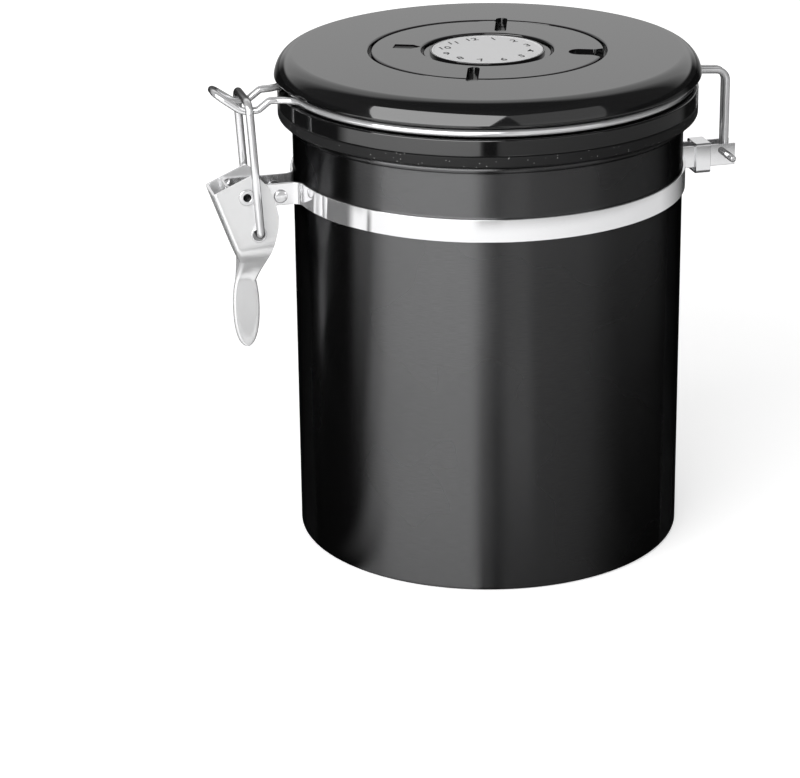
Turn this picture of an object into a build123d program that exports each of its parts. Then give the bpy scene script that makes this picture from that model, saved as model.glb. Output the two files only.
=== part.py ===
from build123d import *
import os
from math import atan2, degrees, hypot, sqrt

# A round steel canister with a hinged lid, a wire clamp, a date dial and a gas valve.
# Millimetres, +Z up. The origin is on the body's axis, on the surface that it stands on.
# The clamp is toward -X and the hinge toward +X.

os.makedirs("parts", exist_ok=True)

# Body
body_radius = 61.0
body_height = 136.7
wall = 0.8
bead_width = 3.0
bead_height = 2.2
foot_flange_width = 5.0
foot_bend_radius = 1.2
base_rim_width = 5.5
base_rise = 2.2
base_slope_width = 2.5
weld_gap = 0.1

# Lid stack, from the rim upward
seal_gap = 0.3
gasket_height = 3.4
flange_height = 5.2
groove_height = 3.6
cap_height = 7.1
cap_overhang = 5.3
flange_step = 0.9
groove_depth = 4.3
cap_edge_radius = 3.5
cap_draft = 0.4
lid_wall = 1.8
plug_floor_drop = 1.2
spigot_wall = 1.6
spigot_depth = 3.2
spigot_gap = 0.1
plug_neck_inset = 3.2
plug_lip_width = 0.8
plug_lip_height = 1.4
plug_nose_inset = 3.3
plug_edge_radius = 0.6

# Date dial
dial_radius = 36.05
dial_groove = 0.95
dial_height = 3.1
dial_lift = 0.1
dial_wall_width = 5.0
hub_radius = 19.8
hub_rim_height = 0.9
hub_button_radius = 17.9
hub_groove = 0.7
hub_stem_radius = 17.6
dial_running_gap = 0.2
dial_lip_height = 1.2
hub_pin_radius = 6.0
hub_pin_gap = 0.2
hub_barb_width = 0.8
hub_barb_height = 1.1
hub_barb_gap = 0.1
plate_radius = 17.3
plate_thickness = 0.5
plate_gap = 0.1
plate_edge = 0.12
dial_edge = 0.35
dial_turn = -24.0
slot_width = 3.7
slot_start_radius = 22.5
slot_end_radius = 40.2
slot_depth = 2.0
notch_width = 7.8
notch_start_radius = 25.3
notch_corner_radius = 2.2
arrow_tip_radius = 20.9
arrow_tail_radius = 29.4
arrow_width = 4.9
arrow_shoulder = 2.6
arrow_depth = 0.35

# Gas valve
valve_radius = 9.0
valve_wall = 1.5
valve_gap = 0.1
valve_flange_width = 3.0
valve_flange_height = 1.6
valve_height = 6.4
seat_thickness = 1.4
seat_hole_radius = 0.9
seat_hole_circle = 4.0
seat_hole_count = 6
flap_radius = 6.3
flap_thickness = 0.8
flap_rest_gap = 0.05
flap_lift = 0.6
flap_stop_gap = 0.15
cover_thickness = 1.4
cover_hole_radius = 1.0
cover_hole_circle = 4.4
cover_hole_count = 5
screen_radius = 7.0
screen_thickness = 0.4
screen_recess = 0.9
screen_hole_radius = 0.5
screen_hole_pitch = 1.8
screen_hole_columns = 5
screen_hole_rows = 5

# Strap round the body
strap_width = 7.0
strap_thickness = 0.8
strap_gap = 0.1
strap_top_drop = 16.5
loop_half_width = 5.4
loop_reach = 23.5
loop_corner_radius = 2.4
loop_root_radius = 3.0
ear_half_width = 3.4
ear_past_pin = 2.7
ear_root_radius = 2.4
ear_corner_radius = 1.0

# Hinge
hinge_reach = 17.6
hinge_drop = 0.1
clip_thickness = 0.9
clip_width = 5.0
clip_reach = 6.8
clip_gap = 0.1
clip_foot_gap = 1.0
clip_corner_radius = 0.7

# Lid wire
wire_width = 2.2
wire_groove_gap = 0.2
wire_lift = 0.35
post_gap = 0.1
tail_root_radius = 2.5
tail_start = 0.9
tail_step_run = 2.6
tail_step_drop = 2.6
tail_drop = 3.3
tail_step_radius = 1.4
tail_corner_radius = 3.7
pintle_reach = 9.3
pintle_bend_radius = 1.4
pintle_fit = 0.08
nose_root_half = 7.0
nose_valley_half = 6.0
nose_tip_half = 4.8
nose_root_bend = 8.0
nose_root_run = 1.0
nose_dip_reach = 13.2
nose_dip_drop = 2.6
nose_valley_reach = 18.0
nose_valley_drop = 3.1
nose_tip_reach = 25.8
nose_tip_rise = 2.5
nose_root_radius = 1.8
nose_dip_radius = 1.8
nose_valley_radius = 5.0
nose_tip_radius = 4.0

# Clamp
lever_pin_reach = 17.4
lever_pin_rise = 0.2
lever_rivet_radius = 1.75
lever_rivet_head_radius = 2.35
lever_rivet_head_height = 0.45
lever_rivet_bore_radius = 1.25
lever_rivet_fit = 0.06
lever_head_gap = 0.08
ear_rivet_reach = 6.7
ear_rivet_drop = 0.6
ear_rivet_radius = 1.1
ear_rivet_head_radius = 1.7
ear_rivet_head_height = 0.8
ear_rivet_fit = 0.05
ear_spacer_radius = 2.1
lever_wall = 0.8
lever_side_gap = 0.3
lever_fold_radius = 1.3
cheek_width = 20.4
cheek_height = 28.9
cheek_ahead_of_pin = 9.8
cheek_above_pin = 7.2
neck_height = 5.6
neck_width = 5.8
neck_offset = 0.1
neck_slit = 0.3
tab_width = 8.4
tab_length = 26.8
tab_thickness = 2.4
tab_drop = 36.9
tab_offset = 0.1
bail_width = 2.5
bail_side_gap = 1.3
bail_pin_ahead = 3.4
bail_pin_below = 11.7
bail_pin_inset = 1.1
bail_pin_play = 0.65
bail_pin_offset = 0.55
bail_bar_ahead = 0.8
bail_nose_gap = 0.8
bail_corner_radius = 3.6
bail_hook_radius = 1.6
cut_overrun = 1.0
head_round_share = 0.75
edge_round_share = 0.45
parallel_share = 0.99

# Levels and radii that follow from the sizes above
rim_z = body_height
gasket_z = rim_z + seal_gap
flange_z = gasket_z + gasket_height
groove_z = flange_z + flange_height
cap_z = groove_z + groove_height
top_z = cap_z + cap_height
cap_radius = body_radius + cap_overhang
flange_radius = cap_radius - flange_step
groove_radius = cap_radius - groove_depth
neck_radius = body_radius - wall - plug_neck_inset
wire_radius = wire_width / 2
ring_radius = groove_radius + wire_groove_gap + wire_radius
ring_z = groove_z + wire_lift + wire_radius
strap_top_z = rim_z - strap_top_drop
strap_bottom_z = strap_top_z - strap_width
strap_mid_z = strap_top_z - strap_width / 2
strap_radius = body_radius + strap_gap + strap_thickness / 2
loop_y = loop_half_width - strap_thickness / 2
ear_y = ear_half_width - strap_thickness / 2
loop_inner_y = loop_half_width - strap_thickness
loop_end_x = -(body_radius + loop_reach - strap_thickness / 2)

hinge_x = body_radius + hinge_reach
hinge_z = strap_mid_z - hinge_drop
lever_pin_x = -(body_radius + lever_pin_reach)
lever_pin_z = strap_mid_z + lever_pin_rise
ear_rivet_x = -(body_radius + ear_rivet_reach)
ear_rivet_z = strap_mid_z - ear_rivet_drop
bail_pin_x = lever_pin_x + bail_pin_ahead
bail_pin_z = lever_pin_z - bail_pin_below
bail_radius = bail_width / 2
nose_valley_z = ring_z - nose_valley_drop
bar_x = lever_pin_x + bail_bar_ahead
bar_z = nose_valley_z + wire_radius + bail_nose_gap + bail_radius

cheek_inner_y = loop_half_width + lever_side_gap
cheek_outer_y = cheek_inner_y + lever_wall
rivet_head_y = cheek_outer_y + lever_head_gap
rivet_end_y = rivet_head_y + lever_rivet_head_height
bail_y = rivet_end_y + bail_side_gap + bail_radius
bail_end_y = cheek_inner_y - bail_pin_inset


def outward_bend(round_radius, bend_radius, leg_y):
    """Bend that takes a round run outward into a leg along X: its centre and its lean in degrees."""
    centre_y = leg_y + bend_radius
    centre_x = sqrt((round_radius + bend_radius) ** 2 - centre_y ** 2)
    return centre_x, centre_y, degrees(atan2(centre_y, centre_x))


def shared_points(shares, left, bottom, width, height):
    """Points of an outline, from their shares of its width and height."""
    return [(left + across * width, bottom + up * height) for across, up in shares]


# Wall of the body, with its rim bead and the foot flange
with BuildPart() as body_wall:
    with BuildSketch(Plane.XZ):
        with BuildLine():
            Polyline(
                (body_radius - foot_flange_width, 0),
                (body_radius, 0),
                (body_radius, rim_z - bead_height / 2),
                (body_radius - wall, rim_z - bead_height / 2),
                (body_radius - wall, wall),
                (body_radius - foot_flange_width, wall),
                close=True,
            )
        make_face()
        fillet(vertices().sort_by(Axis.Y)[0:2].sort_by(Axis.X)[-1], foot_bend_radius)
        with Locations((body_radius - wall + bead_width / 2, rim_z - bead_height / 2)):
            RectangleRounded(bead_width, bead_height, bead_height * edge_round_share)
    revolve(axis=Axis.Z)
body_wall.part.label = "body_wall"
export_step(body_wall.part, "parts/body_wall.step")

# Pressed base, standing on the foot flange inside the wall
base_radius = body_radius - wall - weld_gap
base_pan_radius = base_radius - base_rim_width
with BuildPart() as base_plate:
    with BuildSketch(Plane.XZ):
        with BuildLine():
            Polyline(
                (0, wall + base_rise),
                (base_pan_radius - base_slope_width, wall + base_rise),
                (base_pan_radius, wall),
                (base_radius, wall),
                (base_radius, wall + wall),
                (base_pan_radius + wall / 2, wall + wall),
                (base_pan_radius - base_slope_width + wall / 2, wall + base_rise + wall),
                (0, wall + base_rise + wall),
                close=True,
            )
        make_face()
    revolve(axis=Axis.Z)
base_plate.part.label = "base_plate"
export_step(base_plate.part, "parts/base_plate.step")

# Strap: a band round the body, a loop of two ears at the clamp and two ears at the hinge
loop_bend_radius = loop_root_radius + strap_thickness / 2
ear_bend_radius = ear_root_radius + strap_thickness / 2
loop_bend_x, loop_bend_y, loop_lean = outward_bend(strap_radius, loop_bend_radius, loop_y)
ear_bend_x, ear_bend_y, ear_lean = outward_bend(strap_radius, ear_bend_radius, ear_y)
with BuildPart() as strap:
    with BuildSketch(Plane.XY.offset(strap_bottom_z)):
        with BuildLine():
            FilletPolyline(
                (-loop_bend_x, loop_y),
                (loop_end_x, loop_y),
                (loop_end_x, -loop_y),
                (-loop_bend_x, -loop_y),
                radius=loop_corner_radius + strap_thickness / 2,
            )
            CenterArc((-loop_bend_x, loop_bend_y), loop_bend_radius, 270, 90 - loop_lean)
            CenterArc((-loop_bend_x, -loop_bend_y), loop_bend_radius, loop_lean, 90 - loop_lean)
            CenterArc((0, 0), strap_radius, ear_lean, 180 - ear_lean - loop_lean)
            CenterArc((0, 0), strap_radius, 180 + loop_lean, 180 - ear_lean - loop_lean)
            CenterArc((ear_bend_x, ear_bend_y), ear_bend_radius, 180 + ear_lean, 90 - ear_lean)
            CenterArc((ear_bend_x, -ear_bend_y), ear_bend_radius, 90, 90 - ear_lean)
            for side in (1, -1):
                Line((ear_bend_x, side * ear_y), (hinge_x + ear_past_pin, side * ear_y))
        trace(line_width=strap_thickness)
    extrude(amount=strap_width)
    ear_ends = edges().filter_by(Axis.Y).sort_by(Axis.X)[-4:]
    fillet(ear_ends, ear_corner_radius)
    with BuildSketch(Plane.XZ):
        with Locations((hinge_x, hinge_z)):
            Circle(wire_radius + pintle_fit)
    extrude(amount=ear_half_width + cut_overrun, both=True, mode=Mode.SUBTRACT)
    with BuildSketch(Plane.XZ):
        with Locations((lever_pin_x, lever_pin_z)):
            Circle(lever_rivet_radius + lever_rivet_fit)
        with Locations((ear_rivet_x, ear_rivet_z)):
            Circle(ear_rivet_radius + ear_rivet_fit)
    extrude(amount=loop_half_width + cut_overrun, both=True, mode=Mode.SUBTRACT)
strap.part.label = "strap"
export_step(strap.part, "parts/strap.step")

# Rivet through the loop's ears, with a domed head on each side
ear_rivet_grip = loop_half_width + ear_rivet_fit
with BuildPart() as ear_rivet:
    with BuildSketch(Plane.XZ):
        with Locations((ear_rivet_x, ear_rivet_z)):
            Circle(ear_rivet_radius)
    extrude(amount=ear_rivet_grip, both=True)
    with BuildSketch(Plane.XZ.offset(ear_rivet_grip)):
        with Locations((ear_rivet_x, ear_rivet_z)):
            Circle(ear_rivet_head_radius)
    extrude(amount=ear_rivet_head_height)
    with BuildSketch(Plane.XZ.offset(-ear_rivet_grip)):
        with Locations((ear_rivet_x, ear_rivet_z)):
            Circle(ear_rivet_head_radius)
    extrude(amount=-ear_rivet_head_height)
    head_rims = edges().filter_by(GeomType.CIRCLE).sort_by(Axis.Y)
    fillet([head_rims[0], head_rims[-1]], ear_rivet_head_height * head_round_share)
ear_rivet.part.label = "ear_rivet"
export_step(ear_rivet.part, "parts/ear_rivet.step")

# Sleeve that keeps the ears apart
with BuildPart() as ear_spacer:
    with BuildSketch(Plane.XZ):
        with Locations((ear_rivet_x, ear_rivet_z)):
            Circle(ear_spacer_radius)
            Circle(ear_rivet_radius + ear_rivet_fit, mode=Mode.SUBTRACT)
    extrude(amount=loop_inner_y - ear_rivet_fit, both=True)
ear_spacer.part.label = "ear_spacer"
export_step(ear_spacer.part, "parts/ear_spacer.step")

# Hollow rivet that the lever turns on
with BuildPart() as lever_rivet:
    with BuildSketch(Plane.XZ):
        with Locations((lever_pin_x, lever_pin_z)):
            Circle(lever_rivet_radius)
    extrude(amount=rivet_head_y, both=True)
    with BuildSketch(Plane.XZ.offset(rivet_head_y)):
        with Locations((lever_pin_x, lever_pin_z)):
            Circle(lever_rivet_head_radius)
    extrude(amount=lever_rivet_head_height)
    with BuildSketch(Plane.XZ.offset(-rivet_head_y)):
        with Locations((lever_pin_x, lever_pin_z)):
            Circle(lever_rivet_head_radius)
    extrude(amount=-lever_rivet_head_height)
    head_rims = edges().filter_by(GeomType.CIRCLE).sort_by(Axis.Y)
    fillet([head_rims[0], head_rims[-1]], lever_rivet_head_height * head_round_share)
    with BuildSketch(Plane.XZ):
        with Locations((lever_pin_x, lever_pin_z)):
            Circle(lever_rivet_bore_radius)
    extrude(amount=rivet_end_y + cut_overrun, both=True, mode=Mode.SUBTRACT)
lever_rivet.part.label = "lever_rivet"
export_step(lever_rivet.part, "parts/lever_rivet.step")

# Sleeve that holds the strap's two ends side by side at the hinge
clip_inner_y = ear_half_width + clip_gap
clip_inner_height = strap_width + clip_gap + clip_foot_gap
clip_mid_z = strap_top_z + clip_gap - clip_inner_height / 2
with BuildPart() as hinge_clip:
    with BuildSketch(Plane.YZ.offset(body_radius + clip_reach)):
        with Locations((0, clip_mid_z)):
            RectangleRounded(
                2 * (clip_inner_y + clip_thickness),
                clip_inner_height + 2 * clip_thickness,
                clip_corner_radius + clip_thickness / 2,
            )
            Rectangle(2 * clip_inner_y, clip_inner_height, mode=Mode.SUBTRACT)
    extrude(amount=clip_width)
hinge_clip.part.label = "hinge_clip"
export_step(hinge_clip.part, "parts/hinge_clip.step")

# Lid wire: pintle, post, tail, ring in the groove, nose, and the same back again
post_y = wire_radius + post_gap / 2
tail_bend_x, tail_bend_y, tail_lean = outward_bend(ring_radius, tail_root_radius, post_y)
nose_bend_x, nose_bend_y, nose_lean = outward_bend(ring_radius, nose_root_bend, nose_root_half)
nose_half = [
    (-nose_bend_x, nose_root_half, ring_z),
    (-nose_bend_x - nose_root_run, nose_root_half, ring_z),
    (-body_radius - nose_dip_reach, nose_root_half, ring_z - nose_dip_drop),
    (-body_radius - nose_valley_reach, nose_valley_half, nose_valley_z),
    (-body_radius - nose_tip_reach, nose_tip_half, ring_z + nose_tip_rise),
]
nose_bends = [nose_root_radius, nose_dip_radius, nose_valley_radius]
with BuildPart() as lid_wire:
    with BuildLine():
        FilletPolyline(
            nose_half + [(x, -y, z) for x, y, z in reversed(nose_half)],
            radius=nose_bends + [nose_tip_radius, nose_tip_radius] + nose_bends[::-1],
        )
        CenterArc((-nose_bend_x, nose_bend_y, ring_z), nose_root_bend, 270, 90 - nose_lean)
        CenterArc((-nose_bend_x, -nose_bend_y, ring_z), nose_root_bend, nose_lean, 90 - nose_lean)
        CenterArc((0, 0, ring_z), ring_radius, tail_lean, 180 - tail_lean - nose_lean)
        CenterArc((0, 0, ring_z), ring_radius, 180 + nose_lean, 180 - tail_lean - nose_lean)
        CenterArc((tail_bend_x, tail_bend_y, ring_z), tail_root_radius, 180 + tail_lean, 90 - tail_lean)
        CenterArc((tail_bend_x, -tail_bend_y, ring_z), tail_root_radius, 90, 90 - tail_lean)
        for side in (1, -1):
            FilletPolyline(
                (tail_bend_x, side * post_y, ring_z),
                (tail_bend_x + tail_start, side * post_y, ring_z),
                (tail_bend_x + tail_start + tail_step_run, side * post_y, ring_z - tail_step_drop),
                (hinge_x, side * post_y, ring_z - tail_drop),
                (hinge_x, side * post_y, hinge_z),
                (hinge_x, side * pintle_reach, hinge_z),
                radius=[tail_step_radius, tail_step_radius, tail_corner_radius, pintle_bend_radius],
            )
    with BuildSketch(Plane.XZ.offset(pintle_reach)):
        with Locations((hinge_x, hinge_z)):
            Circle(wire_radius)
    sweep()
lid_wire.part.label = "lid_wire"
export_step(lid_wire.part, "parts/lid_wire.step")

# Bail wire: a loop hooked into both cheeks of the lever, over the lid wire's nose
with BuildPart() as bail_wire:
    with BuildLine():
        FilletPolyline(
            (bail_pin_x, -bail_end_y, bail_pin_z),
            (bail_pin_x, -bail_y, bail_pin_z),
            (bar_x, -bail_y, bar_z),
            (bar_x, bail_y, bar_z),
            (bail_pin_x, bail_y, bail_pin_z),
            (bail_pin_x, bail_end_y, bail_pin_z),
            radius=[bail_hook_radius, bail_corner_radius, bail_corner_radius, bail_hook_radius],
        )
    with BuildSketch(Plane.XZ.offset(bail_end_y)):
        with Locations((bail_pin_x, bail_pin_z)):
            Circle(bail_radius)
    sweep()
bail_wire.part.label = "bail_wire"
export_step(bail_wire.part, "parts/bail_wire.step")

# Lever: a folded channel with two cheeks and a web, pinched flat below into a thumb tab
cheek_right = lever_pin_x + cheek_ahead_of_pin
cheek_left = cheek_right - cheek_width
cheek_top = lever_pin_z + cheek_above_pin
cheek_bottom = cheek_top - cheek_height
web_top_share = (0.0, 0.799)
web_foot_share = (0.408, 0.0)
cheek_edge_shares = [
    (0.075, 0.827),
    (0.560, 0.986),
    (0.630, 0.995),
    (0.873, 0.827),
    (0.951, 0.689),
    (1.000, 0.505),
    (0.990, 0.387),
    (0.941, 0.242),
    (0.875, 0.093),
    (0.816, 0.0),
]
cheek_points = shared_points(
    [web_foot_share, web_top_share] + cheek_edge_shares, cheek_left, cheek_bottom, cheek_width, cheek_height
)
web_foot, web_top = cheek_points[0], cheek_points[1]
web_length = hypot(web_top[0] - web_foot[0], web_top[1] - web_foot[1])
web_along = ((web_top[0] - web_foot[0]) / web_length, (web_top[1] - web_foot[1]) / web_length)
web_inward = (web_along[1], -web_along[0])
inside_height = cheek_height + cut_overrun
inside_foot = (web_foot[0] + lever_wall / web_inward[0], cheek_bottom)
inside_top = (inside_foot[0] + web_along[0] / web_along[1] * inside_height, cheek_bottom + inside_height)
tab_x = lever_pin_x - tab_offset
tab_z = lever_pin_z - tab_drop
neck_x = tab_x + neck_offset
neck_left = neck_x - neck_width / 2
neck_z = cheek_bottom - neck_height
cheek_foot_x = cheek_points[-1][0]
with BuildPart() as lever:
    with BuildSketch(Plane.XZ):
        with BuildLine():
            Polyline(cheek_points, close=True)
        make_face()
    extrude(amount=cheek_outer_y, both=True)
    web_edges = edges().filter_by(lambda e: abs((e % 0).dot(Vector(web_along[0], 0, web_along[1]))) > parallel_share)
    fillet(web_edges.sort_by(Axis.X)[0:2], lever_fold_radius)
    with BuildSketch(Plane.XZ):
        with BuildLine():
            Polyline(
                inside_foot,
                inside_top,
                (cheek_right + cut_overrun, inside_top[1]),
                (cheek_right + cut_overrun, cheek_bottom),
                close=True,
            )
        make_face()
    extrude(amount=cheek_inner_y, both=True, mode=Mode.SUBTRACT)
    # Funnel where the cheeks are pressed together
    with BuildSketch(Plane.XY.offset(cheek_bottom)):
        with Locations(((web_foot[0] + cheek_foot_x) / 2, 0)):
            RectangleRounded(cheek_foot_x - web_foot[0], 2 * cheek_outer_y, lever_wall / 2)
    with BuildSketch(Plane.XY.offset(neck_z)):
        with Locations((neck_x, 0)):
            RectangleRounded(neck_width, tab_thickness, lever_wall / 2)
    loft()
    with BuildSketch(Plane.XY.offset(cheek_bottom)):
        with Locations((inside_foot[0], 0)):
            Rectangle(cheek_width, 2 * cheek_inner_y, align=(Align.MIN, Align.CENTER))
    with BuildSketch(Plane.XY.offset(neck_z)):
        with Locations((neck_left + lever_wall, 0)):
            Rectangle(cheek_width, neck_slit, align=(Align.MIN, Align.CENTER))
    loft(mode=Mode.SUBTRACT)
    # Thumb tab
    with BuildSketch(Plane.XZ):
        with Locations((tab_x, tab_z)):
            Ellipse(tab_width / 2, tab_length / 2)
    extrude(amount=tab_thickness / 2, both=True)
    # Holes for the rivet and for the bail's hooked ends
    with BuildSketch(Plane.XZ):
        with Locations((lever_pin_x, lever_pin_z)):
            Circle(lever_rivet_radius + lever_rivet_fit)
        with Locations((bail_pin_x, bail_pin_z - bail_pin_offset)):
            Circle(bail_radius + bail_pin_play)
    extrude(amount=cheek_outer_y + cut_overrun, both=True, mode=Mode.SUBTRACT)
lever.part.label = "lever"
export_step(lever.part, "parts/lever.step")

# Gasket ring, carried under the flange
with BuildPart() as gasket:
    with BuildSketch(Plane.XY.offset(gasket_z)):
        Circle(flange_radius)
        Circle(neck_radius + weld_gap, mode=Mode.SUBTRACT)
    extrude(amount=gasket_height)
    fillet(edges().group_by(Axis.Z)[0].sort_by(SortBy.LENGTH)[-1], plug_edge_radius)
gasket.part.label = "gasket"
export_step(gasket.part, "parts/gasket.step")

# Flange and plug of the lid: flange, groove wall for the wire, and a shallow cup in the mouth
lip_radius = neck_radius + plug_lip_width
lip_top_z = gasket_z - weld_gap
lip_z = lip_top_z - plug_lip_height
plug_z = lip_z - plug_floor_drop
plug_radius = lip_radius - plug_nose_inset
plug_floor_z = plug_z + lid_wall
groove_inner_radius = groove_radius - lid_wall
plug_inner_radius = neck_radius - lid_wall
with BuildPart() as lid_base:
    with BuildSketch(Plane.XZ):
        with BuildLine():
            Polyline(
                (0, plug_z),
                (plug_radius, plug_z),
                (lip_radius, lip_z),
                (lip_radius, lip_top_z),
                (neck_radius, lip_top_z),
                (neck_radius, flange_z),
                (flange_radius, flange_z),
                (flange_radius, groove_z),
                (groove_radius, groove_z),
                (groove_radius, cap_z),
                (groove_inner_radius, cap_z),
                (groove_inner_radius, flange_z + lid_wall),
                (plug_inner_radius, flange_z + lid_wall),
                (plug_inner_radius, plug_floor_z),
                (0, plug_floor_z),
                close=True,
            )
        make_face()
    revolve(axis=Axis.Z)
    fillet(edges().filter_by(GeomType.CIRCLE).filter_by_position(Axis.Z, flange_z, groove_z)
           .sort_by(SortBy.LENGTH)[-2:], plug_edge_radius)
    with BuildSketch(Plane.XY.offset(plug_z)):
        Circle(valve_radius + valve_gap)
    extrude(amount=lid_wall + cut_overrun, mode=Mode.SUBTRACT)
lid_base.part.label = "lid_base"
export_step(lid_base.part, "parts/lid_base.step")

# Cap of the lid, with the dial's recess and a spigot inside the groove wall
recess_radius = dial_radius + dial_groove
recess_z = top_z - dial_height - dial_lift - dial_lift
recess_under_z = recess_z - lid_wall
recess_wall_radius = recess_radius + dial_wall_width
spigot_radius = groove_inner_radius - spigot_gap
spigot_z = cap_z - spigot_depth
cap_under_z = top_z - lid_wall
mark_angles = {"notch": dial_turn, "back": dial_turn + 90, "arrow": dial_turn + 180, "front": dial_turn + 270}
with BuildPart() as lid_cap:
    with BuildSketch(Plane.XZ):
        with BuildLine():
            Polyline(
                (hub_pin_radius + hub_pin_gap, recess_under_z),
                (recess_wall_radius, recess_under_z),
                (recess_wall_radius, cap_under_z),
                (spigot_radius - spigot_wall, cap_under_z),
                (spigot_radius - spigot_wall, spigot_z),
                (spigot_radius, spigot_z),
                (spigot_radius, cap_z),
                (cap_radius - cap_draft, cap_z),
                (cap_radius, top_z - cap_edge_radius),
            )
            RadiusArc((cap_radius, top_z - cap_edge_radius), (cap_radius - cap_edge_radius, top_z),
                      -cap_edge_radius)
            Polyline(
                (cap_radius - cap_edge_radius, top_z),
                (recess_radius, top_z),
                (recess_radius, recess_z),
                (hub_pin_radius + hub_pin_gap, recess_z),
                (hub_pin_radius + hub_pin_gap, recess_under_z),
            )
        make_face()
    revolve(axis=Axis.Z)
    for name in ("back", "front"):
        with BuildSketch(Plane.XY.offset(top_z)):
            with PolarLocations((slot_start_radius + slot_end_radius) / 2, 1, mark_angles[name]):
                SlotOverall(slot_end_radius - slot_start_radius, slot_width)
        extrude(amount=-slot_depth, mode=Mode.SUBTRACT)
lid_cap.part.label = "lid_cap"
export_step(lid_cap.part, "parts/lid_cap.step")

# Date ring, which turns in the cap's recess under the hub's edge
dial_z = recess_z + dial_lift
dial_top_z = dial_z + dial_height
dial_inner_radius = hub_radius + hub_groove
dial_lip_radius = hub_stem_radius + dial_running_gap
notch_half = notch_width / 2
with BuildPart() as dial_ring:
    with BuildSketch(Plane.XY.offset(dial_z)):
        Circle(dial_radius)
        Circle(dial_inner_radius, mode=Mode.SUBTRACT)
    extrude(amount=dial_height)
    top_rims = edges().group_by(Axis.Z)[-1]
    fillet(top_rims, dial_edge)
    with BuildSketch(Plane.XY.offset(dial_z)):
        Circle(dial_inner_radius + dial_edge)
        Circle(dial_lip_radius, mode=Mode.SUBTRACT)
    extrude(amount=dial_lip_height)
    for name in ("back", "front"):
        with BuildSketch(Plane.XY.offset(dial_top_z)):
            with PolarLocations((slot_start_radius + slot_end_radius) / 2, 1, mark_angles[name]):
                SlotOverall(slot_end_radius - slot_start_radius, slot_width)
        extrude(amount=-slot_depth, mode=Mode.SUBTRACT)
    with BuildSketch(Plane.XY.offset(dial_top_z).rotated((0, 0, dial_turn))):
        with BuildLine():
            FilletPolyline(
                (dial_radius + cut_overrun, notch_half),
                (notch_start_radius, notch_half),
                (notch_start_radius, -notch_half),
                (dial_radius + cut_overrun, -notch_half),
                radius=notch_corner_radius,
            )
            Line((dial_radius + cut_overrun, -notch_half), (dial_radius + cut_overrun, notch_half))
        make_face()
    extrude(amount=-slot_depth, mode=Mode.SUBTRACT)
    with BuildSketch(Plane.XY.offset(dial_top_z).rotated((0, 0, mark_angles["arrow"]))):
        with BuildLine():
            Polyline(
                (arrow_tip_radius, 0),
                (arrow_tip_radius + arrow_shoulder, arrow_width / 2),
                (arrow_tail_radius, arrow_width / 2),
                (arrow_tail_radius, -arrow_width / 2),
                (arrow_tip_radius + arrow_shoulder, -arrow_width / 2),
                close=True,
            )
        make_face()
    extrude(amount=-arrow_depth, mode=Mode.SUBTRACT)
dial_ring.part.label = "dial_ring"
export_step(dial_ring.part, "parts/dial_ring.step")

# Hub: its edge holds the date ring down, and its barbed pin snaps through the cap
hub_under_z = dial_z + dial_lip_height + dial_lift
plate_seat_z = dial_top_z - plate_thickness
with BuildPart() as dial_hub:
    with BuildSketch(Plane.XZ):
        with BuildLine():
            Polyline(
                (0, recess_under_z - hub_barb_gap - hub_barb_height),
                (hub_pin_radius, recess_under_z - hub_barb_gap - hub_barb_height),
                (hub_pin_radius + hub_barb_width, recess_under_z - hub_barb_gap),
                (hub_pin_radius, recess_under_z - hub_barb_gap),
                (hub_pin_radius, recess_z),
                (hub_stem_radius, recess_z),
                (hub_stem_radius, hub_under_z),
                (hub_radius, hub_under_z),
                (hub_radius, hub_under_z + hub_rim_height),
                (hub_button_radius, hub_under_z + hub_rim_height),
                (hub_button_radius, dial_top_z),
                (plate_radius + plate_gap, dial_top_z),
                (plate_radius + plate_gap, plate_seat_z),
                (0, plate_seat_z),
                close=True,
            )
        make_face()
    revolve(axis=Axis.Z)
dial_hub.part.label = "dial_hub"
export_step(dial_hub.part, "parts/dial_hub.step")

# Silver number plate, let into the hub
with BuildPart() as number_plate:
    with BuildSketch(Plane.XY.offset(plate_seat_z)):
        Circle(plate_radius)
    extrude(amount=plate_thickness)
    chamfer(edges().group_by(Axis.Z)[-1], plate_edge)
number_plate.part.label = "number_plate"
export_step(number_plate.part, "parts/number_plate.step")

# Valve body: a cup through the plug's floor, with a seat full of gas holes
valve_flange_z = plug_z - valve_flange_height
valve_bore_radius = valve_radius - valve_wall
seat_z = plug_z + seat_thickness
with BuildPart() as valve_body:
    with BuildSketch(Plane.XY.offset(valve_flange_z)):
        Circle(valve_radius + valve_flange_width)
    extrude(amount=valve_flange_height)
    fillet(edges().group_by(Axis.Z)[0], plug_edge_radius)
    with BuildSketch(Plane.XY.offset(plug_z)):
        Circle(valve_radius)
    extrude(amount=valve_height)
    with BuildSketch(Plane.XY.offset(seat_z)):
        Circle(valve_bore_radius)
    extrude(amount=valve_height, mode=Mode.SUBTRACT)
    with BuildSketch(Plane.XY.offset(valve_flange_z)):
        Circle(screen_radius + valve_gap)
    extrude(amount=screen_recess, mode=Mode.SUBTRACT)
    with BuildSketch(Plane.XY.offset(valve_flange_z)):
        with PolarLocations(seat_hole_circle, seat_hole_count):
            Circle(seat_hole_radius)
    extrude(amount=valve_height, mode=Mode.SUBTRACT)
valve_body.part.label = "valve_body"
export_step(valve_body.part, "parts/valve_body.step")

# Soft flap, which lifts off the seat to let gas out
flap_z = seat_z + flap_rest_gap
with BuildPart() as valve_flap:
    with BuildSketch(Plane.XY.offset(flap_z)):
        Circle(flap_radius)
    extrude(amount=flap_thickness)
valve_flap.part.label = "valve_flap"
export_step(valve_flap.part, "parts/valve_flap.step")

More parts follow.
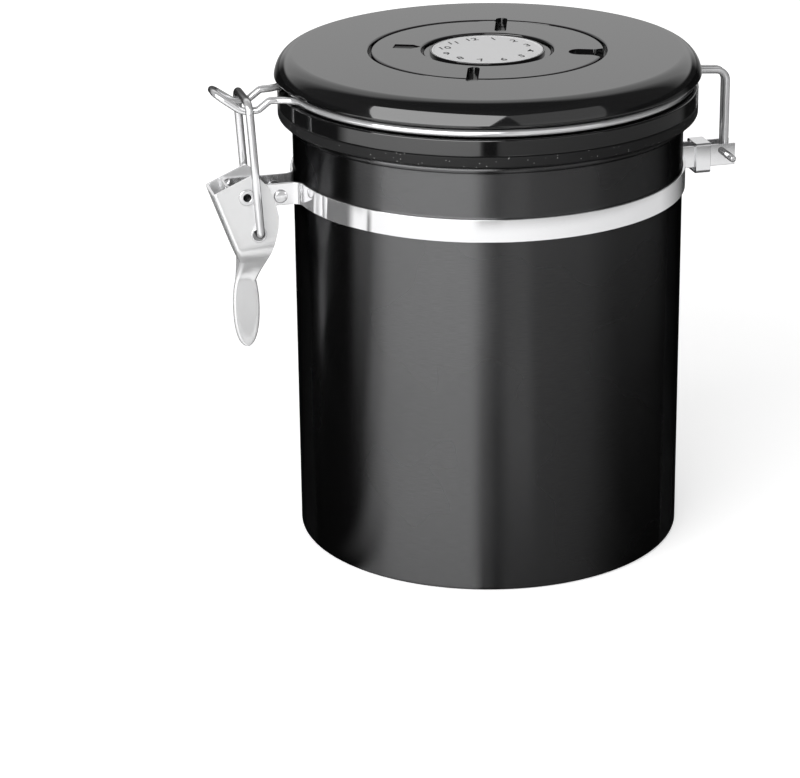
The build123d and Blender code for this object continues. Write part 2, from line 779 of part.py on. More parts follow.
# Cover over the flap, pressed into the valve body
cover_z = flap_z + flap_thickness + flap_lift + flap_stop_gap
with BuildPart() as valve_cover:
    with BuildSketch(Plane.XY.offset(cover_z)):
        Circle(valve_bore_radius - valve_gap / 2)
        with PolarLocations(cover_hole_circle, cover_hole_count):
            Circle(cover_hole_radius, mode=Mode.SUBTRACT)
    extrude(amount=cover_thickness)
valve_cover.part.label = "valve_cover"
export_step(valve_cover.part, "parts/valve_cover.step")

# Filter screen in the recess under the seat
screen_z = valve_flange_z + screen_recess - screen_thickness
with BuildPart() as filter_screen:
    with BuildSketch(Plane.XY.offset(screen_z)):
        Circle(screen_radius)
        with HexLocations(screen_hole_pitch / sqrt(3), screen_hole_columns, screen_hole_rows):
            Circle(screen_hole_radius, mode=Mode.SUBTRACT)
    extrude(amount=screen_thickness)
filter_screen.part.label = "filter_screen"
export_step(filter_screen.part, "parts/filter_screen.step")
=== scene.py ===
"""Looks of a steel coffee canister with a clamp lid, a turning date dial and a gas valve.

Every size is in metres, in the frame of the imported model: +Z up, the clamp toward -X, the hinge toward +X.
A field whose name ends in share is a share of the size that it follows. Angles in fields are in degrees, but
for the camera's, which are in radians.
"""

import logging
import math
from dataclasses import dataclass
from enum import Enum
from typing import Any, Sequence

import bmesh
import bpy
from bpy.types import Material, Mesh, Node, NodeSocket, NodeTree, Object
from mathutils import Matrix, Vector


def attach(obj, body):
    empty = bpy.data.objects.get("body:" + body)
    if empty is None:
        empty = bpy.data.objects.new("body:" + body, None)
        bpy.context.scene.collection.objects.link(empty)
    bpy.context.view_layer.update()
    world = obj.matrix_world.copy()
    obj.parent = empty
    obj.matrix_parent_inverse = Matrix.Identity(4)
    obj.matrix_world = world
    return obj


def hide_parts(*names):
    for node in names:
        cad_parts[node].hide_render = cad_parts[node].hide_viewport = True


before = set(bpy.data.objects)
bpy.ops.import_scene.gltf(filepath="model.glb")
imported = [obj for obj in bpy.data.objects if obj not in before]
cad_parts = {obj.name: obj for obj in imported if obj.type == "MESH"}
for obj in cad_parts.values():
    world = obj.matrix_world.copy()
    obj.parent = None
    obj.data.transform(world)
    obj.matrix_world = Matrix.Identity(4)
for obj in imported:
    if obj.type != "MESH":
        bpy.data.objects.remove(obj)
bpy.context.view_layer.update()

LOG = logging.getLogger("canister")
Point = tuple[float, ...]
Colour = tuple[float, float, float]

# Places and sizes that sub-assemblies share

BODY_RADIUS = 0.0610
HINGE_PIN: Point = (0.0786, 0.0, 0.1166)
LEVER_PIN: Point = (-0.0784, 0.0, 0.1169)
LID_WALL = 0.0018
SHARP_ANGLE = 35.0


class Axis(Enum):
    """Axis that a turned piece is made about."""

    UP = "up"
    ACROSS = "across"


class Effect(Enum):
    """Surface effects that finishes share, each with its shader group's name."""

    BRUSHING = "brushing"
    HANDLING = "handling"
    SPECKS = "specks"


# Node helpers


def set_inputs(tree: NodeTree, node: Node, values: dict[str | int, Any]) -> None:
    """Set a node's inputs to plain values, or link them to other nodes.

    Args:
        tree: the tree that the node is in.
        node: the node.
        values: for an input's name or number, a plain value or the socket that it is linked to.
    """
    for key, value in values.items():
        if isinstance(value, NodeSocket):
            tree.links.new(value, node.inputs[key])
        else:
            node.inputs[key].default_value = value


def add_node(tree: NodeTree, kind: str, values: dict[str | int, Any] | None = None, **settings: Any) -> Node:
    """Add a node and set it up.

    Args:
        tree: the node tree that takes the node.
        kind: the node's type.
        values: what its inputs are set or linked to.
        **settings: the node's own settings.

    Returns:
        The new node.
    """
    node = tree.nodes.new(kind)
    for key, value in settings.items():
        setattr(node, key, value)
    set_inputs(tree, node, values or {})
    return node


def calculate(tree: NodeTree, operation: str, *values: float | NodeSocket) -> NodeSocket:
    """Return the socket with the result of a sum."""
    return add_node(tree, "ShaderNodeMath", dict(enumerate(values)), operation=operation).outputs[0]


def spread(tree: NodeTree, source: NodeSocket, low: float, high: float, start: float = 0.0,
           end: float = 1.0) -> NodeSocket:
    """Map one range of values to another.

    Args:
        tree: the tree.
        source: the value.
        low: the result at the start.
        high: the result at the end.
        start: the value that the range starts at.
        end: the value that it ends at.

    Returns:
        The socket with the mapped value.
    """
    values = {"Value": source, "From Min": start, "From Max": end, "To Min": low, "To Max": high}
    return add_node(tree, "ShaderNodeMapRange", values).outputs["Result"]


def grey(level: float) -> Point:
    """Return a grey colour for a socket."""
    return level, level, level, 1.0


def ramp(tree: NodeTree, source: NodeSocket, stops: Sequence[tuple[float, Colour]]) -> NodeSocket:
    """Colour a 0 to 1 value.

    Args:
        tree: the tree.
        source: the value.
        stops: values in rising order, each with its colour.

    Returns:
        The socket with the colour.
    """
    node = add_node(tree, "ShaderNodeValToRGB", {"Fac": source})
    elements = node.color_ramp.elements
    for _ in stops[len(elements):]:
        elements.new(0.5)
    for element, (position, colour) in zip(elements, stops):
        element.position = position
        element.color = (*colour, 1.0)
    return node.outputs["Color"]


def toned(tree: NodeTree, source: NodeSocket, colour: Colour, change: float) -> NodeSocket:
    """Make a colour darker where a value is 0 and lighter where it is 1.

    Args:
        tree: the tree.
        source: the value.
        colour: the colour half way.
        change: how much darker and lighter it gets, as a share of the colour.

    Returns:
        The socket with the colour.
    """
    ends = [tuple(min(1.0, part * factor) for part in colour) for factor in (1.0 - change, 1.0 + change)]
    return ramp(tree, source, list(enumerate(ends)))


def blend(tree: NodeTree, share: NodeSocket, first: NodeSocket | Point,
          second: NodeSocket | Point) -> NodeSocket:
    """Return the first colour where the share is 0, and the second where it is 1."""
    values = {"Factor": share, 6: first, 7: second}
    return add_node(tree, "ShaderNodeMix", values, data_type="RGBA").outputs[2]


def bumped(tree: NodeTree, height: NodeSocket, strength: float, distance: float) -> NodeSocket:
    """Raise the surface by a height value.

    Args:
        tree: the material's tree.
        height: the height, from 0 to 1.
        strength: how much of the bump shows.
        distance: the height of the bump in metres.

    Returns:
        The socket with the bumped normal.
    """
    values = {"Height": height, "Strength": strength, "Distance": distance}
    return add_node(tree, "ShaderNodeBump", values).outputs["Normal"]


# Shared effects


def new_group(effect: Effect, inputs: dict[str, float],
              outputs: Sequence[str]) -> tuple[NodeTree, Node, Node]:
    """Start the shader group of an effect.

    Args:
        effect: the effect.
        inputs: names of its inputs, with their defaults.
        outputs: names of its outputs.

    Returns:
        The group, its input node and its output node.
    """
    group = bpy.data.node_groups.new(effect.value, "ShaderNodeTree")
    for label, default in inputs.items():
        item = group.interface.new_socket(label, in_out="INPUT", socket_type="NodeSocketFloat")
        item.default_value = default
    for label in outputs:
        group.interface.new_socket(label, in_out="OUTPUT", socket_type="NodeSocketFloat")
    return group, group.nodes.new("NodeGroupInput"), group.nodes.new("NodeGroupOutput")


def brushing_group() -> NodeTree:
    """Draw fine lines that run round the upright axis, as a brush leaves them on a turned shell.

    Returns:
        A group that gives a Line height and a slow Patch value, both from 0 to 1.
    """
    group, into, out = new_group(Effect.BRUSHING, {"Line Scale": 1.0, "Line Length": 1.0, "Patch Scale": 1.0},
                                 ("Line", "Patch"))
    place = add_node(group, "ShaderNodeTexCoord").outputs["Object"]
    split = add_node(group, "ShaderNodeSeparateXYZ", {"Vector": place})
    turn = calculate(group, "ARCTAN2", split.outputs["X"], split.outputs["Y"])
    along = calculate(group, "MULTIPLY", turn, into.outputs["Line Length"])
    up = calculate(group, "MULTIPLY", split.outputs["Z"], into.outputs["Line Scale"])
    unrolled = add_node(group, "ShaderNodeCombineXYZ", {"X": along, "Y": up}).outputs["Vector"]
    lines = add_node(group, "ShaderNodeTexNoise", {
        "Vector": unrolled, "Scale": 1.0, "Detail": 4.0, "Roughness": 0.7})
    patch = add_node(group, "ShaderNodeTexNoise", {
        "Vector": place, "Scale": into.outputs["Patch Scale"], "Detail": 2.0})
    set_inputs(group, out, {"Line": lines.outputs["Fac"], "Patch": patch.outputs["Fac"]})
    return group


def handling_group() -> NodeTree:
    """Draw faint smears and hairline scratches of a handled surface.

    Returns:
        A group that gives a Smear value and a Scratch height, both from 0 to 1.
    """
    group, into, out = new_group(Effect.HANDLING, {"Smear Scale": 1.0, "Scratch Scale": 1.0},
                                 ("Smear", "Scratch"))
    place = add_node(group, "ShaderNodeTexCoord").outputs["Object"]
    smear = add_node(group, "ShaderNodeTexNoise", {
        "Vector": place, "Scale": into.outputs["Smear Scale"], "Detail": 3.0, "Distortion": 0.6})
    scratch = add_node(group, "ShaderNodeTexNoise", {
        "Vector": place, "Scale": into.outputs["Scratch Scale"], "Detail": 5.0, "Roughness": 0.65})
    set_inputs(group, out, {"Smear": smear.outputs["Fac"], "Scratch": scratch.outputs["Fac"]})
    return group


def specks_group() -> NodeTree:
    """Scatter specks of dust.

    Returns:
        A group that gives a Speck mask, 1 on a speck and 0 elsewhere.
    """
    group, into, out = new_group(Effect.SPECKS, {"Scale": 1.0, "Size": 0.0, "Rareness": 0.0}, ("Speck",))
    place = add_node(group, "ShaderNodeTexCoord").outputs["Object"]
    cells = add_node(group, "ShaderNodeTexVoronoi", {"Vector": place, "Scale": into.outputs["Scale"]})
    near = calculate(group, "LESS_THAN", cells.outputs["Distance"], into.outputs["Size"])
    pick = add_node(group, "ShaderNodeSeparateColor", {"Color": cells.outputs["Color"]})
    rare = calculate(group, "GREATER_THAN", pick.outputs["Red"], into.outputs["Rareness"])
    set_inputs(group, out, {"Speck": calculate(group, "MULTIPLY", near, rare)})
    return group


EFFECT_GROUPS = {
    Effect.BRUSHING: brushing_group,
    Effect.HANDLING: handling_group,
    Effect.SPECKS: specks_group,
}


def effect_outputs(tree: NodeTree, effect: Effect, values: dict[str, float]) -> bpy.types.bpy_prop_collection:
    """Place a shared effect in a material, building its group the first time.

    Args:
        tree: the material's tree.
        effect: the effect.
        values: the effect's inputs for this material.

    Returns:
        The effect's outputs by name.
    """
    group = bpy.data.node_groups.get(effect.value) or EFFECT_GROUPS[effect]()
    return add_node(tree, "ShaderNodeGroup", values, node_tree=group).outputs


# Finishes


@dataclass(frozen=True)
class Finish:
    """One surface finish, with its own even values."""

    name: str
    colour: Colour
    roughness: float
    metallic: float = 0.0
    ior: float = 1.5

    def start(self) -> tuple[Material, NodeTree, Node]:
        """Make the material with its shader.

        Returns:
            The material, its tree and its Principled shader.
        """
        material = bpy.data.materials.new(self.name)
        material.use_nodes = True
        tree = material.node_tree
        shader = tree.nodes["Principled BSDF"]
        set_inputs(tree, shader, {"Base Color": (*self.colour, 1.0), "Roughness": self.roughness,
                                  "Metallic": self.metallic, "IOR": self.ior})
        return material, tree, shader


@dataclass(frozen=True)
class BrushedFinish(Finish):
    """Brushed sheet: long fine lines round the body, a sheen that spreads across them, and an edge value that
    darkens grazing reflections as painted shade.
    """

    anisotropy: float = 0.97
    across: float = 0.25
    # A low value darkens the metal's reflection at grazing angles: painted shade along the edges.
    edge_painted_shade: float = 0.05
    line_scale: float = 9000.0
    line_length: float = 14.0
    patch_scale: float = 22.0
    depth: float = 0.00001
    bump_strength: float = 0.6
    tone_change: float = 0.4
    rough_change: float = 0.05

    def build(self) -> Material:
        """Mix the finish.

        Returns:
            The finished material.
        """
        material, tree, shader = self.start()
        marks = effect_outputs(tree, Effect.BRUSHING, {
            "Line Scale": self.line_scale, "Line Length": self.line_length, "Patch Scale": self.patch_scale})
        smooth, rough = self.roughness - self.rough_change, self.roughness + self.rough_change
        tangent = add_node(tree, "ShaderNodeTangent", direction_type="RADIAL", axis="Z")
        set_inputs(tree, shader, {
            "Base Color": toned(tree, marks["Line"], self.colour, self.tone_change),
            "Roughness": spread(tree, marks["Patch"], smooth, rough),
            "Normal": bumped(tree, marks["Line"], self.bump_strength, self.depth),
            # Specular Tint carries the edge value: painted shade on grazing reflections.
            "Specular Tint": grey(self.edge_painted_shade),
            "Anisotropic": self.anisotropy,
            "Anisotropic Rotation": self.across,
            "Tangent": tangent.outputs["Tangent"],
        })
        return material


@dataclass(frozen=True)
class HandledFinish(Finish):
    """Glossy plastic or polished metal, with faint smears and hairline scratches; an edge value below 1 adds
    painted shade where the surface turns away.
    """

    smear_scale: float = 30.0
    scratch_scale: float = 500.0
    smear_roughness: float = 0.05
    tone_change: float = 0.12
    depth: float = 0.00001
    bump_strength: float = 0.05
    # Below 1, darkens the colour and the edge reflection at grazing angles: painted shade along the edges.
    painted_edge_shade: float = 1.0
    edge_start: float = 0.42
    edge_end: float = 0.72

    def with_painted_edge_shade(self, tree: NodeTree, tone: NodeSocket) -> NodeSocket:
        """Darken a colour where the surface turns away: painted shade along the edges.

        Args:
            tree: the material's tree.
            tone: the colour.

        Returns:
            The socket with the darkened colour.
        """
        facing = add_node(tree, "ShaderNodeLayerWeight").outputs["Facing"]
        share = spread(tree, facing, 1.0, self.painted_edge_shade, self.edge_start, self.edge_end)
        scale = add_node(tree, "ShaderNodeVectorMath", {"Vector": tone, "Scale": share}, operation="SCALE")
        return scale.outputs["Vector"]

    def build(self) -> Material:
        """Mix the finish.

        Returns:
            The finished material.
        """
        material, tree, shader = self.start()
        marks = effect_outputs(tree, Effect.HANDLING, {
            "Smear Scale": self.smear_scale, "Scratch Scale": self.scratch_scale})
        tone = toned(tree, marks["Smear"], self.colour, self.tone_change)
        # Painted shade: darker colour and darker edge reflection where the surface turns away.
        if self.painted_edge_shade < 1.0:
            tone = self.with_painted_edge_shade(tree, tone)
            set_inputs(tree, shader, {"Specular Tint": grey(self.painted_edge_shade)})
        set_inputs(tree, shader, {
            "Base Color": tone,
            "Roughness": spread(tree, marks["Smear"], self.roughness, self.roughness + self.smear_roughness),
            "Normal": bumped(tree, marks["Scratch"], self.bump_strength, self.depth),
        })
        return material


@dataclass(frozen=True)
class DustyFinish(Finish):
    """Matte rubber with fine grain and a few pale specks of dust."""

    smear_scale: float = 60.0
    grain_scale: float = 1800.0
    tone_change: float = 0.25
    depth: float = 0.00004
    bump_strength: float = 0.4
    speck_scale: float = 1100.0
    speck_size: float = 0.14
    speck_rareness: float = 0.72
    speck_colour: Colour = (0.3, 0.3, 0.295)

    def build(self) -> Material:
        """Mix the finish.

        Returns:
            The finished material.
        """
        material, tree, shader = self.start()
        grain = effect_outputs(tree, Effect.HANDLING, {
            "Smear Scale": self.smear_scale, "Scratch Scale": self.grain_scale})
        dust = effect_outputs(tree, Effect.SPECKS, {
            "Scale": self.speck_scale, "Size": self.speck_size, "Rareness": self.speck_rareness})
        tone = toned(tree, grain["Smear"], self.colour, self.tone_change)
        set_inputs(tree, shader, {
            "Base Color": blend(tree, dust["Speck"], tone, (*self.speck_colour, 1.0)),
            "Normal": bumped(tree, grain["Scratch"], self.bump_strength, self.depth),
        })
        return material


class Finishes:
    """The materials of the object, each built once."""

    def __init__(self) -> None:
        """Mix every finish."""
        # The body's low edge value paints shade along its edges.
        self.body = BrushedFinish("body_steel", (0.13, 0.13, 0.132), 0.27, metallic=1.0).build()
        # The polished steel's low edge value paints shade along its edges.
        self.bright = HandledFinish(
            "polished_steel", (0.92, 0.92, 0.93), 0.07, metallic=0.68, smear_scale=120.0,
            scratch_scale=2400.0, tone_change=0.03, bump_strength=0.02, painted_edge_shade=0.12).build()
        self.sheet = HandledFinish(
            "plated_sheet", (0.93, 0.93, 0.94), 0.045, metallic=0.85, smear_scale=90.0, scratch_scale=1800.0,
            smear_roughness=0.015, tone_change=0.03, bump_strength=0.01).build()
        self.lever = HandledFinish(
            "lever_sheet", (0.96, 0.96, 0.97), 0.2, metallic=0.6, smear_scale=70.0, scratch_scale=1500.0,
            tone_change=0.04, bump_strength=0.01).build()
        self.lid = HandledFinish("lid_plastic", (0.004, 0.004, 0.0042), 0.04, ior=1.85).build()
        self.dial = HandledFinish(
            "dial_plastic", (0.005, 0.005, 0.0052), 0.07, ior=1.85, smear_scale=45.0).build()
        # Duller, darker black for the arrow's recess: painted shade in the recess.
        self.mark = HandledFinish("dial_recess_shade", (0.003, 0.003, 0.003), 0.22, ior=1.14).build()
        self.seal = DustyFinish("seal_rubber", (0.008, 0.008, 0.0083), 0.6, ior=1.38).build()
        self.plate = HandledFinish(
            "plate_silver", (0.74, 0.74, 0.745), 0.4, metallic=0.2, smear_scale=80.0, scratch_scale=1500.0,
            tone_change=0.03, bump_strength=0.1).build()
        self.ink = HandledFinish("plate_ink", (0.01, 0.01, 0.0105), 0.5, smear_scale=400.0).build()
        self.valve = HandledFinish(
            "valve_plastic", (0.02, 0.02, 0.021), 0.35, smear_scale=60.0, scratch_scale=900.0,
            bump_strength=0.3).build()
        self.flap = HandledFinish("flap_rubber", (0.5, 0.5, 0.48), 0.5, smear_scale=90.0).build()
        self.screen = BrushedFinish(
            "screen_steel", (0.55, 0.55, 0.55), 0.3, metallic=1.0, edge_painted_shade=0.8).build()


# Outlines and paths


@dataclass(frozen=True)
class Corner:
    """A corner of an outline or a path, with the radius that it is bent to."""

    place: Point
    bend: float = 0.0


def rounded(corners: Sequence[Corner], closed: bool, steps: int = 6) -> list[Vector]:
    """Round the corners of a path, in two or three dimensions.

    Args:
        corners: the corners in order.
        closed: whether the last corner joins the first.
        steps: how many straight pieces each bend gets.

    Returns:
        The points of the rounded path.
    """
    places = [Vector((*corner.place, 0.0, 0.0)[:3]) for corner in corners]
    count = len(places)
    points: list[Vector] = []
    for index, corner in enumerate(corners):
        here = places[index]
        if corner.bend <= 0.0 or (not closed and index in (0, count - 1)):
            points.append(here)
            continue
        back = (places[index - 1] - here).normalized()
        on = (places[(index + 1) % count] - here).normalized()
        half = back.angle(on) / 2.0
        reach = corner.bend / math.tan(half)
        centre = here + (back + on).normalized() * (corner.bend / math.sin(half))
        start = here + back * reach - centre
        end = here + on * reach - centre
        sweep = start.angle(end)
        normal = start.cross(end).normalized()
        for step in range(steps + 1):
            points.append(centre + Matrix.Rotation(sweep * step / steps, 3, normal) @ start)
    return points


def both_sides(corners: Sequence[Corner]) -> list[Corner]:
    """Return flat corners followed by their mirror images across the first axis, in reversed order."""
    return [*corners, *(Corner((item.place[0], -item.place[1]), item.bend) for item in reversed(corners))]


def box_outline(low: Point, high: Point, bend: float, steps: int) -> list[Vector]:
    """Draw a rectangle with rounded corners.

    Args:
        low: its low corner.
        high: its high corner.
        bend: the radius of its corners.
        steps: how many straight pieces each bend gets.

    Returns:
        The points of its outline.
    """
    places = (low, (high[0], low[1]), high, (low[0], high[1]))
    return rounded([Corner(place, bend) for place in places], closed=True, steps=steps)


def outward_bend(round_radius: float, bend: float, leg_y: float) -> tuple[Vector, float]:
    """Find the bend that takes a round run outward into a leg along X.

    Args:
        round_radius: the radius of the round run's centre line.
        bend: the radius of the bend.
        leg_y: how far the leg is from the middle.

    Returns:
        The bend's centre, for the leg on the +X and +Y side, and the angle at which it leaves the round run.
    """
    centre_y = leg_y + bend
    centre_x = math.sqrt((round_radius + bend) ** 2 - centre_y ** 2)
    return Vector((centre_x, centre_y, 0.0)), math.atan2(centre_y, centre_x)


def arc(centre: Vector, radius: float, start: float, end: float, steps: int) -> list[Vector]:
    """Find the points of a level arc.

    Args:
        centre: the arc's centre.
        radius: its radius.
        start: the angle that it starts at, in radians.
        end: the angle that it ends at, in radians.
        steps: how many straight pieces it has.

    Returns:
        The points, both ends included.
    """
    angles = [start + (end - start) * step / steps for step in range(steps + 1)]
    return [centre + radius * Vector((math.cos(angle), math.sin(angle), 0.0)) for angle in angles]


def chain(*runs: list[Vector]) -> list[Vector]:
    """Return one path of runs that each start where the one before ends."""
    return [point for run in runs[:-1] for point in run[:-1]] + runs[-1]


def with_mirror(half: list[Vector]) -> list[Vector]:
    """Return a path that starts on the XZ plane, with its mirror image before it."""
    return [Vector((point.x, -point.y, point.z)) for point in reversed(half[1:])] + half


def between(start: Vector, end: Vector, steps: int) -> list[Vector]:
    """Return the points that divide a straight run into equal steps, without its ends."""
    return [start.lerp(end, step / steps) for step in range(1, steps)]


def eased(share: float) -> float:
    """Return a share, limited to 0 and 1, with a soft start and end."""
    share = min(1.0, max(0.0, share))
    return share * share * (3.0 - 2.0 * share)


# Meshes and pieces


def placed(name: str, data: bpy.types.ID) -> Object:
    """Put a mesh, curve, lamp or camera in the scene.

    Args:
        name: the new object's name.
        data: what it shows.

    Returns:
        The new object, at the scene's origin.
    """
    carrier = bpy.data.objects.new(name, data)
    bpy.context.scene.collection.objects.link(carrier)
    return carrier


def shape_of(carrier: Object) -> Mesh:
    """Return a new mesh of an object's shape, its modifiers included."""
    bpy.context.view_layer.update()
    return bpy.data.meshes.new_from_object(carrier.evaluated_get(bpy.context.evaluated_depsgraph_get()))


def shade(mesh: Mesh, sharp: float = SHARP_ANGLE) -> None:
    """Shade a mesh smooth, but for its edges past an angle in degrees."""
    mesh.shade_smooth()
    mesh.set_sharp_from_angle(angle=math.radians(sharp))


def new_piece(name: str, mesh: Mesh, material: Material, sharp: float = SHARP_ANGLE) -> Object:
    """Make an object of a mesh, shaded smooth but for its sharp edges.

    Args:
        name: the piece's name.
        mesh: its mesh.
        material: its finish.
        sharp: the angle in degrees past which an edge stays sharp.

    Returns:
        The object, at the origin.
    """
    mesh.materials.clear()
    mesh.materials.append(material)
    shade(mesh, sharp)
    return placed(name, mesh)


def modify(piece: Object, kind: str, **settings: Any) -> None:
    """Change a piece's mesh with a modifier.

    Args:
        piece: the piece, left without modifiers.
        kind: the modifier's type.
        **settings: the modifier's settings.
    """
    modifier = piece.modifiers.new(kind.lower(), kind)
    for key, value in settings.items():
        setattr(modifier, key, value)
    mesh, old = shape_of(piece), piece.data
    piece.modifiers.clear()
    piece.data = mesh
    bpy.data.meshes.remove(old)


def even_normals(piece: Object) -> None:
    """Shade a piece's flat faces flat and its roundings smooth."""
    shade(piece.data)
    modify(piece, "WEIGHTED_NORMAL", keep_sharp=True)


def bevel_edges(piece: Object, width: float, angle: float = 60.0, segments: int = 2) -> None:
    """Round the sharp edges of a piece.

    Args:
        piece: the piece.
        width: how far the rounding reaches from an edge.
        angle: the angle in degrees past which an edge is rounded.
        segments: how many faces the rounding has.
    """
    modify(piece, "BEVEL", width=width, segments=segments, limit_method="ANGLE",
           angle_limit=math.radians(angle))
    even_normals(piece)


def cut(piece: Object, cutter: Mesh, inside: Material | None = None) -> None:
    """Cut a shape out of a piece.

    Args:
        piece: the piece, whose mesh is changed.
        cutter: the closed mesh that is taken away, which is then deleted.
        inside: the finish of the surfaces that the cut leaves, if it isn't the piece's own.
    """
    if inside:
        cutter.materials.append(inside)
    tool = placed("cutter", cutter)
    modify(piece, "BOOLEAN", operation="DIFFERENCE", solver="EXACT", object=tool,
           material_mode="TRANSFER" if inside else "INDEX")
    bpy.data.objects.remove(tool)
    bpy.data.meshes.remove(cutter)


def mesh_of(name: str, build: bmesh.types.BMesh, merge: float = 1e-7, outward: bool = True) -> Mesh:
    """Make a mesh of a bmesh, with merged points.

    Args:
        name: the mesh's name.
        build: the bmesh, which is freed.
        merge: the distance under which points are merged.
        outward: whether its faces are turned outward, as on a closed shape.

    Returns:
        The mesh.
    """
    bmesh.ops.remove_doubles(build, verts=build.verts, dist=merge)
    bmesh.ops.dissolve_degenerate(build, edges=build.edges, dist=merge)
    if outward:
        bmesh.ops.recalc_face_normals(build, faces=build.faces)
    mesh = bpy.data.meshes.new(name)
    build.to_mesh(mesh)
    build.free()
    return mesh


def skin(build: bmesh.types.BMesh, rows: Sequence[Sequence[bmesh.types.BMVert]], around: bool = True,
         back: bool = False) -> None:
    """Lay faces between rows of points.

    Args:
        build: the bmesh that takes the faces.
        rows: the rows, each with as many points.
        around: whether the last point of a row joins its first.
        back: whether the last row joins the first.
    """
    count = len(rows[0])
    following = [*rows[1:], rows[0]] if back else rows[1:]
    for here, there in zip(rows, following):
        for index in range(count if around else count - 1):
            after = (index + 1) % count
            build.faces.new((here[index], here[after], there[after], there[index]))


def turned_mesh(name: str, outline: Sequence[Vector], segments: int, axis: Axis, centre: Point) -> Mesh:
    """Turn an outline about an axis.

    Args:
        name: the mesh's name.
        outline: points of radius and height, in order round the section.
        segments: how many steps the turn has.
        axis: UP turns about Z, and ACROSS about Y.
        centre: where the axis and the zero height are.

    Returns:
        The mesh of the turned solid.
    """
    on_axis = 1e-9
    build = bmesh.new()
    rings = []
    for step in range(segments):
        angle = math.tau * step / segments
        ring = []
        for point in outline:
            flat = (point.x * math.cos(angle), point.x * math.sin(angle))
            place = (*flat, point.y) if axis is Axis.UP else (flat[0], point.y, flat[1])
            ring.append(build.verts.new(Vector(place) + Vector(centre)))
        rings.append(ring)
    count = len(outline)
    for here, there in zip(rings, [*rings[1:], rings[0]]):
        for index in range(count):
            after = (index + 1) % count
            if max(outline[index].x, outline[after].x) >= on_axis:
                build.faces.new((here[index], there[index], there[after], here[after]))
    return mesh_of(name, build)


def turned(name: str, corners: Sequence[Corner], material: Material, segments: int, axis: Axis = Axis.UP,
           centre: Point = (0.0, 0.0, 0.0), steps: int = 6) -> Object:
    """Make a turned piece from the rounded corners of its section.

    Args:
        name: the piece's name.
        corners: corners of radius and height.
        material: its finish.
        segments: how many steps the turn has.
        axis: the axis that it is turned about.
        centre: where the axis and the zero height are.
        steps: how many straight pieces each bend gets.

    Returns:
        The piece.
    """
    outline = rounded(corners, closed=True, steps=steps)
    piece = new_piece(name, turned_mesh(name, outline, segments, axis, centre), material)
    even_normals(piece)
    return piece


def drill(piece: Object, place: Point, radius: float, reach: float, segments: int = 40) -> None:
    """Drill a round hole through a piece, along Y.

    Args:
        piece: the piece.
        place: the middle of the hole.
        radius: its radius.
        reach: how far it goes to each side.
        segments: how many sides it has.
    """
    outline = rounded(both_sides([Corner((0.0, -reach)), Corner((radius, -reach))]), closed=True)
    cut(piece, turned_mesh("hole", outline, segments, Axis.ACROSS, place))


def prism_mesh(name: str, outline: Sequence[Vector], middle: float, half: float) -> Mesh:
    """Stand a flat outline up about a height.

    Args:
        name: the mesh's name.
        outline: points in the XY plane.
        middle: the height of its middle.
        half: how far it reaches up and down from there.

    Returns:
        The closed mesh.
    """
    build = bmesh.new()
    lower, upper = [[build.verts.new((point.x, point.y, level)) for point in outline]
                    for level in (middle - half, middle + half)]
    build.faces.new(list(reversed(lower)))
    build.faces.new(upper)
    skin(build, (lower, upper))
    return mesh_of(name, build)


def wire_tree() -> NodeTree:
    """Draw a round wire along a path of edges, as thick at each point as the path's taper says.

    Returns:
        The tree, with its inputs Wire Radius, Sides and Finish.
    """
    tree = bpy.data.node_groups.new("wire_along_path", "GeometryNodeTree")
    inputs = {"Path": "Geometry", "Wire Radius": "Float", "Sides": "Int", "Finish": "Material"}
    for label, kind in inputs.items():
        tree.interface.new_socket(label, in_out="INPUT", socket_type=f"NodeSocket{kind}")
    tree.interface.new_socket("Wire", in_out="OUTPUT", socket_type="NodeSocketGeometry")
    into = tree.nodes.new("NodeGroupInput").outputs
    line = add_node(tree, "GeometryNodeMeshToCurve", {"Mesh": into["Path"]})
    section = add_node(tree, "GeometryNodeCurvePrimitiveCircle", {
        "Resolution": into["Sides"], "Radius": into["Wire Radius"]})
    taper = add_node(tree, "GeometryNodeInputNamedAttribute", {"Name": "taper"}, data_type="FLOAT")
    drawn = add_node(tree, "GeometryNodeCurveToMesh", {
        "Curve": line.outputs["Curve"], "Profile Curve": section.outputs["Curve"],
        "Scale": taper.outputs["Attribute"], "Fill Caps": True})
    real = add_node(tree, "GeometryNodeRealizeInstances", {"Geometry": drawn.outputs["Mesh"]})
    dress = add_node(tree, "GeometryNodeSetMaterial", {
        "Geometry": real.outputs["Geometry"], "Material": into["Finish"]})
    add_node(tree, "NodeGroupOutput", {"Wire": dress.outputs["Geometry"]})
    return tree


def geometry_result(name: str, start: Mesh, tree: NodeTree, values: dict[str, Any]) -> Mesh:
    """Run a geometry node tree on a mesh.

    Args:
        name: the name of the result.
        start: the mesh that the tree works on, which is then deleted.
        tree: the tree.
        values: the tree's inputs by their shown names.

    Returns:
        The plain mesh that comes out.
    """
    carrier = placed(name, start)
    modifier = carrier.modifiers.new("nodes", "NODES")
    modifier.node_group = tree
    for item in tree.interface.items_tree:
        if item.in_out == "INPUT" and item.name in values:
            modifier[item.identifier] = values[item.name]
    mesh = shape_of(carrier)
    mesh.name = name
    bpy.data.objects.remove(carrier)
    bpy.data.meshes.remove(start)
    return mesh


